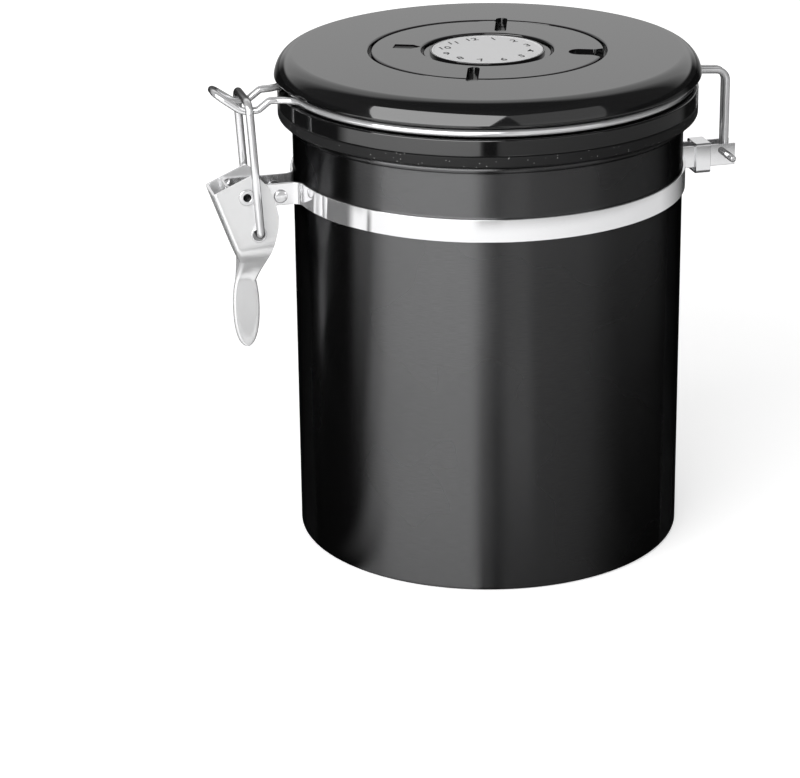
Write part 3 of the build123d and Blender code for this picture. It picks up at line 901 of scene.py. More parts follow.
@dataclass(frozen=True)
class Wire:
    """A round wire with rounded ends, drawn along a path."""

    radius: float
    sides: int = 28
    end_steps: int = 4
    end_share: float = 0.5
    tip_share: float = 0.05
    sharp: float = 60.0

    def build(self, name: str, path: Sequence[Vector], material: Material) -> Object:
        """Bend the wire along a path.

        Args:
            name: the piece's name.
            path: the points of its centre line.
            material: its finish.

        Returns:
            The piece.
        """
        turns = [math.pi / 2.0 * step / self.end_steps for step in range(self.end_steps + 1)]
        tapers = [max(self.tip_share, math.cos(turn)) for turn in turns]
        setbacks = [self.radius * self.end_share * (1.0 - math.sin(turn)) for turn in turns]
        first, last = (path[0] - path[1]).normalized(), (path[-1] - path[-2]).normalized()
        head = [path[0] - first * setback for setback in reversed(setbacks)]
        tail = [path[-1] - last * setback for setback in setbacks]
        points = [*head, *path[1:-1], *tail]
        mesh = bpy.data.meshes.new(f"{name}_path")
        mesh.from_pydata(points, [(index, index + 1) for index in range(len(points) - 1)], [])
        attribute = mesh.attributes.new("taper", "FLOAT", "POINT")
        attribute.data.foreach_set("value", [*reversed(tapers), *[1.0] * (len(path) - 2), *tapers])
        tree = bpy.data.node_groups.get("wire_along_path") or wire_tree()
        values = {"Wire Radius": self.radius, "Sides": self.sides, "Finish": material}
        return new_piece(name, geometry_result(name, mesh, tree, values), material, self.sharp)


def finish_piece(piece: Object, body: str, slot: str, *nodes: str) -> None:
    """Ride a finished piece on its body and log it.

    Args:
        piece: the finished piece.
        body: the body that it moves with.
        slot: the name of a material slot; not used.
        *nodes: the model's nodes that it stands for.
    """
    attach(piece, body)
    if nodes:
        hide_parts(*nodes)
    LOG.info("%s: %d faces, on %s", piece.name, len(piece.data.polygons), body)


# The canister's own pieces


@dataclass
class CanisterBody:
    """The brushed shell with its rim bead, and the pressed base under it."""

    finishes: Finishes
    wall: float = 0.0008
    height: float = 0.1367
    bead_width: float = 0.0030
    bead_height: float = 0.0022
    bead_bend_share: float = 0.98
    mouth_bend_share: float = 0.7
    neck_bend: float = 0.0006
    flange: float = 0.0050
    foot_bend: float = 0.0012
    base_gap: float = 0.0001
    base_rim: float = 0.0055
    base_rise: float = 0.0022
    base_slope: float = 0.0025
    base_wide_bend: float = 0.0015
    base_tight_bend: float = 0.0008
    wall_segments: int = 320
    base_segments: int = 192

    def build_wall(self) -> None:
        """Turn the shell: foot flange, wall and rolled bead."""
        inner = BODY_RADIUS - self.wall
        flange_in = BODY_RADIUS - self.flange
        bead_out = inner + self.bead_width
        bead_under = self.height - self.bead_height
        bead_bend = self.bead_height / 2.0 * self.bead_bend_share
        corners = [
            Corner((flange_in, 0.0)),
            Corner((BODY_RADIUS, 0.0), self.foot_bend),
            Corner((BODY_RADIUS, bead_under), self.neck_bend),
            Corner((bead_out, bead_under), bead_bend),
            Corner((bead_out, self.height), bead_bend),
            Corner((inner, self.height), self.wall * self.mouth_bend_share),
            Corner((inner, self.wall), self.foot_bend / 2.0),
            Corner((flange_in, self.wall)),
        ]
        piece = turned("canister_wall", corners, self.finishes.body, self.wall_segments)
        finish_piece(piece, "canister", "body_steel", "body_wall")

    def build_base(self) -> None:
        """Turn the pressed pan that stands on the foot flange."""
        outer = BODY_RADIUS - self.wall - self.base_gap
        pan = outer - self.base_rim
        top = self.wall + self.base_rise
        corners = [
            Corner((0.0, top)),
            Corner((pan - self.base_slope, top), self.base_wide_bend),
            Corner((pan, self.wall), self.base_tight_bend),
            Corner((outer, self.wall)),
            Corner((outer, self.wall * 2.0), self.wall / 3.0),
            Corner((pan + self.wall / 2.0, self.wall * 2.0), self.base_wide_bend),
            Corner((pan - self.base_slope + self.wall / 2.0, top + self.wall), self.base_tight_bend),
            Corner((0.0, top + self.wall)),
        ]
        piece = turned("base_pan", corners, self.finishes.body, self.base_segments)
        finish_piece(piece, "canister", "body_steel", "base_plate")

    def build(self) -> None:
        """Build every piece of the body."""
        self.build_wall()
        self.build_base()


@dataclass
class StrapBand:
    """The steel band with its clamp loop and hinge ears, its rivets and the hinge clip."""

    finishes: Finishes
    # The band, its loop at the clamp and its ears at the hinge
    gap: float = 0.0001
    thickness: float = 0.0008
    low: float = 0.1132
    width: float = 0.0070
    edge: float = 0.00016
    edge_steps: int = 3
    loop_half: float = 0.0054
    loop_reach: float = 0.0235
    loop_corner: float = 0.0024
    loop_root: float = 0.0030
    ear_half: float = 0.0034
    ear_end: float = 0.0813
    ear_root: float = 0.0024
    bend_steps: int = 10
    band_steps: int = 150
    hinge_hole: float = 0.00118
    # The rivet in the loop's ears, and its spacer
    rivet_place: Point = (-0.0677, 0.0, 0.1161)
    rivet_shaft: float = 0.0011
    rivet_head: float = 0.0021
    rivet_dome: float = 0.0008
    rivet_dome_share: float = 0.8
    rivet_fit: float = 0.00005
    rivet_segments: int = 48
    spacer_radius: float = 0.0021
    spacer_edge: float = 0.0002
    # The eyelet that the lever turns on
    eyelet_shaft: float = 0.00175
    eyelet_head: float = 0.00255
    eyelet_bore: float = 0.00125
    eyelet_under: float = 0.00658
    eyelet_lip: float = 0.00045
    eyelet_lip_share: float = 0.6
    eyelet_segments: int = 56
    # The clip over the hinge's ears
    clip_start: float = 0.0678
    clip_width: float = 0.0050
    clip_thickness: float = 0.0009
    clip_corner: float = 0.0011
    clip_corner_steps: int = 6
    clip_edge: float = 0.00018
    clip_edge_segments: int = 3
    clip_gap: float = 0.0001
    clip_foot_gap: float = 0.0010

    def half_line(self) -> list[Vector]:
        """Trace the centre line of the band's +Y half.

        Returns:
            Its points, from the loop's end to the ear's end.
        """
        half = self.thickness / 2.0
        radius = BODY_RADIUS + self.gap + half
        loop_x = -(BODY_RADIUS + self.loop_reach - half)
        loop_y, loop_bend = self.loop_half - half, self.loop_root + half
        ear_y, ear_bend = self.ear_half - half, self.ear_root + half
        loop_centre, loop_lean = outward_bend(radius, loop_bend, loop_y)
        ear_centre, ear_lean = outward_bend(radius, ear_bend, ear_y)
        loop_centre.x = -loop_centre.x
        loop = rounded([
            Corner((loop_x, 0.0)), Corner((loop_x, loop_y), self.loop_corner + half),
            Corner((loop_centre.x, loop_y)),
        ], closed=False, steps=self.bend_steps)
        root = arc(loop_centre, loop_bend, -math.pi / 2.0, -loop_lean, self.bend_steps)
        band = arc(Vector((0.0, 0.0, 0.0)), radius, math.pi - loop_lean, ear_lean, self.band_steps)
        ear = arc(ear_centre, ear_bend, math.pi + ear_lean, 1.5 * math.pi, self.bend_steps)
        return chain(loop, root, band, ear) + [Vector((self.ear_end, ear_y, 0.0))]

    def build_band(self) -> None:
        """Draw the band's section, with soft edges, along its centre line, and drill its holes."""
        half = self.thickness / 2.0
        section = box_outline((-half, 0.0), (half, self.width), self.edge, self.edge_steps)
        line = with_mirror(self.half_line())
        build = bmesh.new()
        rows = []
        for before, point, after in zip([line[0], *line], line, [*line[1:], line[-1]]):
            along = (after - before).normalized()
            side = Vector((along.y, -along.x, 0.0))
            rows.append([build.verts.new(point + side * spot.x + Vector((0.0, 0.0, self.low + spot.y)))
                         for spot in section])
        skin(build, rows)
        build.faces.new(rows[0])
        build.faces.new(list(reversed(rows[-1])))
        piece = new_piece("strap_band", mesh_of("strap_band", build), self.finishes.sheet)
        drill(piece, HINGE_PIN, self.hinge_hole, self.ear_half + self.thickness)
        drill(piece, LEVER_PIN, self.eyelet_shaft, self.loop_half + self.thickness)
        drill(piece, self.rivet_place, self.rivet_shaft, self.loop_half + self.thickness)
        even_normals(piece)
        finish_piece(piece, "canister", "polished_steel", "strap")

    def build_rivet(self) -> None:
        """Turn the ear rivet and the spacer on it."""
        grip = self.loop_half + self.rivet_fit
        tip = grip + self.rivet_dome
        corners = both_sides([
            Corner((0.0, -tip)), Corner((self.rivet_head, -tip), self.rivet_dome * self.rivet_dome_share),
            Corner((self.rivet_head, -grip)), Corner((self.rivet_shaft, -grip)),
        ])
        piece = turned("ear_rivet_dome", corners, self.finishes.bright, self.rivet_segments, Axis.ACROSS,
                       self.rivet_place)
        finish_piece(piece, "canister", "polished_steel", "ear_rivet")
        inside = self.loop_half - self.thickness - self.rivet_fit
        corners = both_sides([
            Corner((self.rivet_shaft + self.rivet_fit, -inside)),
            Corner((self.spacer_radius, -inside), self.spacer_edge),
        ])
        piece = turned("ear_sleeve", corners, self.finishes.bright, self.rivet_segments, Axis.ACROSS,
                       self.rivet_place)
        finish_piece(piece, "canister", "polished_steel", "ear_spacer")

    def build_eyelet(self) -> None:
        """Turn the hollow rivet that the lever turns on."""
        over = self.eyelet_under + self.eyelet_lip
        lip = self.eyelet_lip * self.eyelet_lip_share
        corners = both_sides([
            Corner((self.eyelet_bore, -over), lip), Corner((self.eyelet_head, -over), lip),
            Corner((self.eyelet_head, -self.eyelet_under)), Corner((self.eyelet_shaft, -self.eyelet_under)),
        ])
        piece = turned("lever_eyelet", corners, self.finishes.bright, self.eyelet_segments, Axis.ACROSS,
                       LEVER_PIN)
        finish_piece(piece, "canister", "polished_steel", "lever_rivet")

    def build_clip(self) -> None:
        """Make the sleeve that holds the two ears side by side at the hinge."""
        in_y = self.ear_half + self.clip_gap
        out_y = in_y + self.clip_thickness
        height = self.width + self.clip_gap + self.clip_foot_gap
        in_z = height / 2.0
        out_z = in_z + self.clip_thickness
        middle = self.low + self.width + self.clip_gap - in_z
        outer = box_outline((-out_y, -out_z), (out_y, out_z), self.clip_corner, self.clip_corner_steps)
        inner = [Vector((max(-in_y, min(in_y, spot.x)), max(-in_z, min(in_z, spot.y)), 0.0))
                 for spot in outer]
        clip_end = self.clip_start + self.clip_width
        rings = ((inner, self.clip_start), (outer, self.clip_start), (outer, clip_end), (inner, clip_end))
        build = bmesh.new()
        rows = [[build.verts.new((x, spot.x, middle + spot.y)) for spot in ring] for ring, x in rings]
        skin(build, rows, back=True)
        piece = new_piece("clip_sleeve", mesh_of("clip_sleeve", build), self.finishes.sheet)
        bevel_edges(piece, self.clip_edge, segments=self.clip_edge_segments)
        finish_piece(piece, "canister", "polished_steel", "hinge_clip")

    def build(self) -> None:
        """Build the band and what is fixed to it."""
        self.build_band()
        self.build_rivet()
        self.build_eyelet()
        self.build_clip()


@dataclass
class WireWork:
    """The lid wire with its hinge posts and nose, and the bail that hooks over it."""

    finishes: Finishes
    # The ring in the lid's groove, and the tails and posts at the hinge
    wire: Wire = Wire(0.0011)
    ring_radius: float = 0.0633
    ring_z: float = 0.14705
    ring_steps: int = 150
    post_y: float = 0.00115
    tail_root: float = 0.0025
    tail_run: float = 0.0009
    tail_step: Point = (0.0026, 0.0026)
    tail_drop: float = 0.0033
    tail_bend: float = 0.0014
    tail_corner: float = 0.0037
    pintle_bend: float = 0.0014
    pintle_reach: float = 0.0093
    bend_steps: int = 8
    # The nose that the bail hooks over
    nose_root_half: float = 0.0070
    nose_root: float = 0.0080
    nose_root_steps: int = 10
    nose_run: float = 0.0010
    nose_dip: Point = (-0.0742, 0.0070, 0.14445)
    nose_valley: Point = (-0.0790, 0.0060, 0.14395)
    nose_tip: Point = (-0.0868, 0.0048, 0.14955)
    nose_bends: Point = (0.0018, 0.0018, 0.0050, 0.0040)
    # The bail
    bail: Wire = Wire(0.00125)
    bail_pin: Point = (-0.0750, 0.1052)
    bail_bar: Point = (-0.0776, 0.1471)
    bail_half: float = 0.00958
    bail_end: float = 0.0046
    bail_corner: float = 0.0036
    bail_hook: float = 0.0016
    bail_bend_steps: int = 10

    def nose(self, centre: Vector) -> list[Vector]:
        """Trace the +Y half of the nose that the bail hooks over.

        Args:
            centre: the centre of the bend at the nose's root.

        Returns:
            Its points, from the tip to the root.
        """
        root_bend, dip_bend, valley_bend, tip_bend = self.nose_bends
        return rounded([
            Corner((self.nose_tip[0], 0.0, self.nose_tip[2])), Corner(self.nose_tip, tip_bend),
            Corner(self.nose_valley, valley_bend), Corner(self.nose_dip, dip_bend),
            Corner((centre.x - self.nose_run, self.nose_root_half, self.ring_z), root_bend),
            Corner((centre.x, self.nose_root_half, self.ring_z)),
        ], closed=False, steps=self.bend_steps)

    def post(self, centre: Vector) -> list[Vector]:
        """Trace the +Y tail, post and pintle at the hinge.

        Args:
            centre: the centre of the bend at the tail's root.

        Returns:
            Their points, from the tail's root to the pintle's end.
        """
        step_x = centre.x + self.tail_run
        step_end = (step_x + self.tail_step[0], self.post_y, self.ring_z - self.tail_step[1])
        pin_x, _, pin_z = HINGE_PIN
        return rounded([
            Corner((centre.x, self.post_y, self.ring_z)),
            Corner((step_x, self.post_y, self.ring_z), self.tail_bend),
            Corner(step_end, self.tail_bend),
            Corner((pin_x, self.post_y, self.ring_z - self.tail_drop), self.tail_corner),
            Corner((pin_x, self.post_y, pin_z), self.pintle_bend),
            Corner((pin_x, self.pintle_reach, pin_z)),
        ], closed=False, steps=self.bend_steps)

    def build_lid_wire(self) -> None:
        """Bend the lid wire: nose, ring, tails, posts and pintles."""
        tail_centre, tail_lean = outward_bend(self.ring_radius, self.tail_root, self.post_y)
        nose_centre, nose_lean = outward_bend(self.ring_radius, self.nose_root, self.nose_root_half)
        nose_centre.x = -nose_centre.x
        level = Vector((0.0, 0.0, self.ring_z))
        root = arc(nose_centre + level, self.nose_root, -math.pi / 2.0, -nose_lean, self.nose_root_steps)
        ring = arc(level, self.ring_radius, math.pi - nose_lean, tail_lean, self.ring_steps)
        tail = arc(tail_centre + level, self.tail_root, math.pi + tail_lean, 1.5 * math.pi, self.bend_steps)
        half = chain(self.nose(nose_centre), root, ring, tail, self.post(tail_centre))
        piece = self.wire.build("lid_wire_loop", with_mirror(half), self.finishes.bright)
        finish_piece(piece, "lid", "polished_steel", "lid_wire")

    def build_bail(self) -> None:
        """Bend the bail: hooked ends, legs and the bar over the nose."""
        pin, bar = self.bail_pin, self.bail_bar
        half = rounded([
            Corner((bar[0], 0.0, bar[1])),
            Corner((bar[0], self.bail_half, bar[1]), self.bail_corner),
            Corner((pin[0], self.bail_half, pin[1]), self.bail_hook),
            Corner((pin[0], self.bail_end, pin[1])),
        ], closed=False, steps=self.bail_bend_steps)
        piece = self.bail.build("bail_loop", with_mirror(half), self.finishes.bright)
        finish_piece(piece, "bail", "polished_steel", "bail_wire")

    def build(self) -> None:
        """Build both wires."""
        self.build_lid_wire()
        self.build_bail()


@dataclass
class ThumbLever:
    """The folded sheet lever: two cheeks, a web, and a thumb tab pinched flat below them."""

    finishes: Finishes
    # The channel, from its open top to where it is pinched
    sheet: float = 0.0008
    half: float = 0.0065
    web_top: Point = (-0.0890, 0.1183)
    web_foot: Point = (-0.08068, 0.0952)
    free_edge: tuple[Point, ...] = (
        (-0.07615, 0.12396), (-0.0741, 0.1224), (-0.07119, 0.1191), (-0.0696, 0.11511), (-0.0686, 0.10979),
        (-0.0688, 0.10638), (-0.0698, 0.10219), (-0.07115, 0.09789), (-0.07235, 0.0952),
    )
    pinch_z: float = 0.1018
    neck_z: float = 0.0882
    # The oval tab and the dish in its sides
    tab_centre: Point = (-0.0785, 0.0800)
    tab_half: Point = (0.0042, 0.0134)
    tab_thickness: float = 0.0024
    tab_power: float = 2.0
    tip_power: float = 2.3
    dish: float = 0.0002
    dish_start_share: float = 0.72
    # The folds, the turned-in edges and the mesh's steps
    fold: float = 0.0013
    fold_width_share: float = 0.9
    fold_run_share: float = 0.4
    lip_gap: float = 0.00004
    least_lip: float = 0.00001
    hem_share: float = 0.8
    cheek_rows: int = 34
    neck_rows: int = 16
    tab_rows: int = 32
    cheek_steps: int = 16
    bend_steps: int = 5
    merge: float = 2e-6
    # The holes and the collars round the bail's
    pin_hole: float = 0.00181
    bail_place: Point = (-0.0750, 0.0, 0.10465)
    bail_hole: float = 0.0019
    hole_overrun_share: float = 1.2
    edge: float = 0.00016
    edge_angle: float = 55.0
    collar_width: float = 0.0006
    collar_height: float = 0.00018
    collar_bend_share: float = 0.9
    collar_segments: int = 48

    def cheek_levels(self) -> list[tuple[Vector, Vector]]:
        """Follow the cheeks from their open top to their foot.

        Returns:
            The web's point and the free edge's point for each level.
        """
        spine = [Vector(place) for place in self.free_edge]
        lengths = [0.0]
        for here, there in zip(spine, spine[1:]):
            lengths.append(lengths[-1] + (there - here).length)
        top, foot = Vector(self.web_top), Vector(self.web_foot)
        slack = 1e-12
        levels = []
        for row in range(self.cheek_rows):
            share = row / (self.cheek_rows - 1)
            target = share * lengths[-1]
            index = max(i for i, length in enumerate(lengths[:-1]) if length <= target + slack)
            local = (target - lengths[index]) / (lengths[index + 1] - lengths[index])
            levels.append((top.lerp(foot, share), spine[index].lerp(spine[index + 1], local)))
        return levels

    def rails(self) -> list[tuple[Vector, Vector, float, float]]:
        """Follow the lever from its open top to the tab's tip.

        Returns:
            For each level the web's point, the free edge's point, half the channel's width, and how far the
            free edges are turned in, from 0 to 1.
        """
        cheeks = self.cheek_levels()
        levels = [(web, edge, self.half_at(edge.y), 0.0) for web, edge in cheeks]
        start_web, start_edge = cheeks[-1]
        end_web, end_edge = self.tab_edges(self.neck_z)
        for row in range(1, self.neck_rows + 1):
            share = row / self.neck_rows
            edge = start_edge.lerp(end_edge, share)
            levels.append((start_web.lerp(end_web, share), edge, self.half_at(edge.y), share * share))
        bottom = self.tab_centre[1] - self.tab_half[1]
        for row in range(1, self.tab_rows):
            angle = math.pi / 2.0 * row / self.tab_rows
            left, right = self.tab_edges(bottom + (self.neck_z - bottom) * (1.0 - math.sin(angle)))
            levels.append((left, right, self.tab_thickness / 2.0, 1.0))
        return levels

    def half_at(self, level: float) -> float:
        """Return half the channel's width at a level of its free edge."""
        pinched = eased((self.pinch_z - level) / (self.pinch_z - self.neck_z))
        return self.half + (self.tab_thickness / 2.0 - self.half) * pinched

    def tab_edges(self, level: float) -> tuple[Vector, Vector]:
        """Find the sides of the oval tab.

        Args:
            level: the height.

        Returns:
            The tab's left and right points at that height.
        """
        share = (level - self.tab_centre[1]) / self.tab_half[1]
        power = self.tip_power if share < 0.0 else self.tab_power
        reach = self.tab_half[0] * max(0.0, 1.0 - abs(share) ** power) ** (1.0 / power)
        return Vector((self.tab_centre[0] - reach, level)), Vector((self.tab_centre[0] + reach, level))

    def dished(self, spot: Vector) -> Vector:
        """Press a point of the tab's flat sides inward, but for a rim round the edge.

        Args:
            spot: the point.

        Returns:
            The pressed point.
        """
        across = (spot.x - self.tab_centre[0]) / self.tab_half[0]
        up = (spot.z - self.tab_centre[1]) / self.tab_half[1]
        depth = self.dish * eased((1.0 - math.hypot(across, up)) / (1.0 - self.dish_start_share))
        return Vector((spot.x, spot.y - math.copysign(min(depth, abs(spot.y)), spot.y), spot.z))

    def section(self, web: Vector, edge: Vector, half: float, turned_in: float) -> list[Vector]:
        """Bend one level's section: near lip, near cheek, fold, web, fold, far cheek, far lip.

        Args:
            web: the web's point.
            edge: the free edge's point.
            half: half the channel's outer width.
            turned_in: how far the free edges are turned in.

        Returns:
            The points of the sheet's outer side, from the near free edge to the far one.
        """
        run = edge - web
        bend_limit = run.length * self.fold_run_share
        lip = max(self.least_lip, turned_in * (half - self.lip_gap))
        flat = rounded(both_sides([
            Corner((run.length, lip - half)),
            Corner((run.length, -half), min(lip * self.hem_share, bend_limit)),
            Corner((0.0, -half), min(self.fold, half * self.fold_width_share, bend_limit)),
        ]), closed=False, steps=self.bend_steps)
        bend_points = self.bend_steps + 1
        near, far = 1 + bend_points, 1 + 3 * bend_points
        near_cheek = between(flat[near - 1], flat[near], self.cheek_steps)
        far_cheek = between(flat[far - 1], flat[far], self.cheek_steps)
        along = run.normalized()
        return [self.dished(Vector((web.x + along.x * spot.x, spot.y, web.y + along.y * spot.x)))
                for spot in flat[:near] + near_cheek + flat[near:far] + far_cheek + flat[far:]]

    @staticmethod
    def faces_inward(mesh: Mesh) -> bool:
        """Return whether the open sheet's faces point into the channel."""
        near_cheek = min(mesh.polygons, key=lambda face: face.center.y - face.area)
        return near_cheek.normal.y > 0.0

    def build_sheet(self) -> None:
        """Bend the sheet, give it its thickness and cut its holes."""
        build = bmesh.new()
        rows = [[build.verts.new(spot) for spot in self.section(*level)] for level in self.rails()]
        skin(build, rows, around=False)
        build.faces.new(rows[-1])
        mesh = mesh_of("lever_sheet", build, self.merge, outward=False)
        offset = 1.0 if self.faces_inward(mesh) else -1.0
        piece = new_piece("thumb_lever", mesh, self.finishes.lever)
        modify(piece, "SOLIDIFY", thickness=self.sheet, offset=offset)
        for place, radius in ((LEVER_PIN, self.pin_hole), (self.bail_place, self.bail_hole)):
            drill(piece, place, radius, self.half * self.hole_overrun_share)
        bevel_edges(piece, self.edge, self.edge_angle)
        finish_piece(piece, "lever", "polished_steel", "lever")

    def build_collars(self) -> None:
        """Turn the thin raised rings round the bail's holes."""
        inner, outer = self.bail_hole, self.bail_hole + self.collar_width
        bend = self.collar_height * self.collar_bend_share
        for name, side in (("near_collar", -1.0), ("far_collar", 1.0)):
            low, high = side * (self.half - self.collar_height), side * (self.half + self.collar_height)
            corners = [Corner((inner, low)), Corner((outer, low)), Corner((outer, high), bend),
                       Corner((inner, high), bend)]
            piece = turned(name, corners, self.finishes.bright, self.collar_segments, Axis.ACROSS,
                           self.bail_place)
            finish_piece(piece, "lever", "polished_steel")

    def build(self) -> None:
        """Build the lever."""
        self.build_sheet()
        self.build_collars()


@dataclass
class LidShells:
    """The glossy cap, the flange with its plug, and the seal between them and the rim."""

    finishes: Finishes
    # The cap
    top: float = 0.1563
    shell_segments: int = 320
    cap_low: float = 0.1492
    cap_radius: float = 0.0663
    cap_draft: float = 0.0004
    cap_foot_round: float = 0.0006
    cap_foot_share: float = 0.7
    cap_round_width: float = 0.0062
    cap_round_start: float = 10.0
    cap_round_steps: int = 24
    cap_bend_steps: int = 12
    cap_edge: float = 0.00016
    spigot_radius: float = 0.0601
    spigot_wall: float = 0.0016
    spigot_low: float = 0.1460
    recess_radius: float = 0.0370
    recess_floor: float = 0.1530
    recess_wall: float = 0.0050
    recess_edge: float = 0.0006
    hub_hole: float = 0.0062
    # The flange, the groove's wall and the plug
    groove_low: float = 0.1456
    groove_radius: float = 0.0620
    flange_radius: float = 0.0654
    flange_low: float = 0.1404
    flange_edge: float = 0.0005
    neck_radius: float = 0.0570
    lip: float = 0.0008
    lip_low: float = 0.1355
    lip_low_bend: float = 0.0004
    lip_top_bend: float = 0.0003
    plug_low: float = 0.1343
    plug_radius: float = 0.0545
    plug_bend: float = 0.0008
    valve_hole: float = 0.0091
    # The seal
    seal_low: float = 0.1370
    seal_gap: float = 0.0001
    seal_low_bend: float = 0.0007
    seal_high_bend: float = 0.0004
    seal_segments: int = 256

    def cap_rounding(self) -> list[Corner]:
        """Trace the wide rounding of the cap's edge.

        Returns:
            Its points, from the foot to the top.
        """
        start = math.radians(self.cap_round_start)
        low = self.cap_low + self.cap_foot_round * self.cap_foot_share
        points = []
        for step in range(self.cap_round_steps + 1):
            angle = start + (math.pi / 2.0 - start) * step / self.cap_round_steps
            rise = (math.sin(angle) - math.sin(start)) / (1.0 - math.sin(start))
            radius = self.cap_radius - self.cap_round_width * (math.cos(start) - math.cos(angle))
            points.append(Corner((radius, low + (self.top - low) * rise)))
        return points

    def build_cap(self) -> None:
        """Turn the cap and cut the two slots' ends that reach into it."""
        under = self.top - LID_WALL
        floor_low = self.recess_floor - LID_WALL
        spigot_in = self.spigot_radius - self.spigot_wall
        wall_out = self.recess_radius + self.recess_wall
        corners = [
            Corner((self.hub_hole, floor_low)), Corner((wall_out, floor_low)), Corner((wall_out, under)),
            Corner((spigot_in, under)), Corner((spigot_in, self.spigot_low)),
            Corner((self.spigot_radius, self.spigot_low)), Corner((self.spigot_radius, self.cap_low)),
            Corner((self.cap_radius - self.cap_draft, self.cap_low), self.cap_foot_round),
            *self.cap_rounding(),
            Corner((self.recess_radius, self.top), self.recess_edge),
            Corner((self.recess_radius, self.recess_floor)), Corner((self.hub_hole, self.recess_floor)),
        ]
        piece = turned("lid_shell", corners, self.finishes.lid, self.shell_segments,
                       steps=self.cap_bend_steps)
        for angle in DateDial.slot_angles():
            cut(piece, DateDial.slot_cutter(angle, self.top))
        bevel_edges(piece, self.cap_edge)
        finish_piece(piece, "lid", "lid_plastic", "lid_cap")

    def build_base(self) -> None:
        """Turn the flange with the groove's wall above it and the plug below."""
        inner = self.groove_radius - LID_WALL
        plug_in = self.neck_radius - LID_WALL
        lip_radius = self.neck_radius + self.lip
        lip_top = self.seal_low - self.seal_gap
        flange_floor, plug_floor = self.flange_low + LID_WALL, self.plug_low + LID_WALL
        corners = [
            Corner((self.valve_hole, self.plug_low)),
            Corner((self.plug_radius, self.plug_low), self.plug_bend),
            Corner((lip_radius, self.lip_low), self.lip_low_bend),
            Corner((lip_radius, lip_top), self.lip_top_bend),
            Corner((self.neck_radius, lip_top)), Corner((self.neck_radius, self.flange_low)),
            Corner((self.flange_radius, self.flange_low), self.flange_edge),
            Corner((self.flange_radius, self.groove_low), self.flange_edge),
            Corner((self.groove_radius, self.groove_low)), Corner((self.groove_radius, self.cap_low)),
            Corner((inner, self.cap_low)), Corner((inner, flange_floor)),
            Corner((plug_in, flange_floor)), Corner((plug_in, plug_floor)),
            Corner((self.valve_hole, plug_floor)),
        ]
        piece = turned("lid_flange", corners, self.finishes.lid, self.shell_segments)
        finish_piece(piece, "lid", "lid_plastic", "lid_base")

    def build_seal(self) -> None:
        """Turn the seal ring under the flange."""
        inner = self.neck_radius + self.seal_gap
        corners = [
            Corner((inner, self.seal_low)),
            Corner((self.flange_radius, self.seal_low), self.seal_low_bend),
            Corner((self.flange_radius, self.flange_low), self.seal_high_bend),
            Corner((inner, self.flange_low)),
        ]
        piece = turned("seal_ring", corners, self.finishes.seal, self.seal_segments)
        finish_piece(piece, "lid", "seal_rubber", "gasket")

    def build(self) -> None:
        """Build the lid's turned pieces."""
        self.build_cap()
        self.build_base()
        self.build_seal()


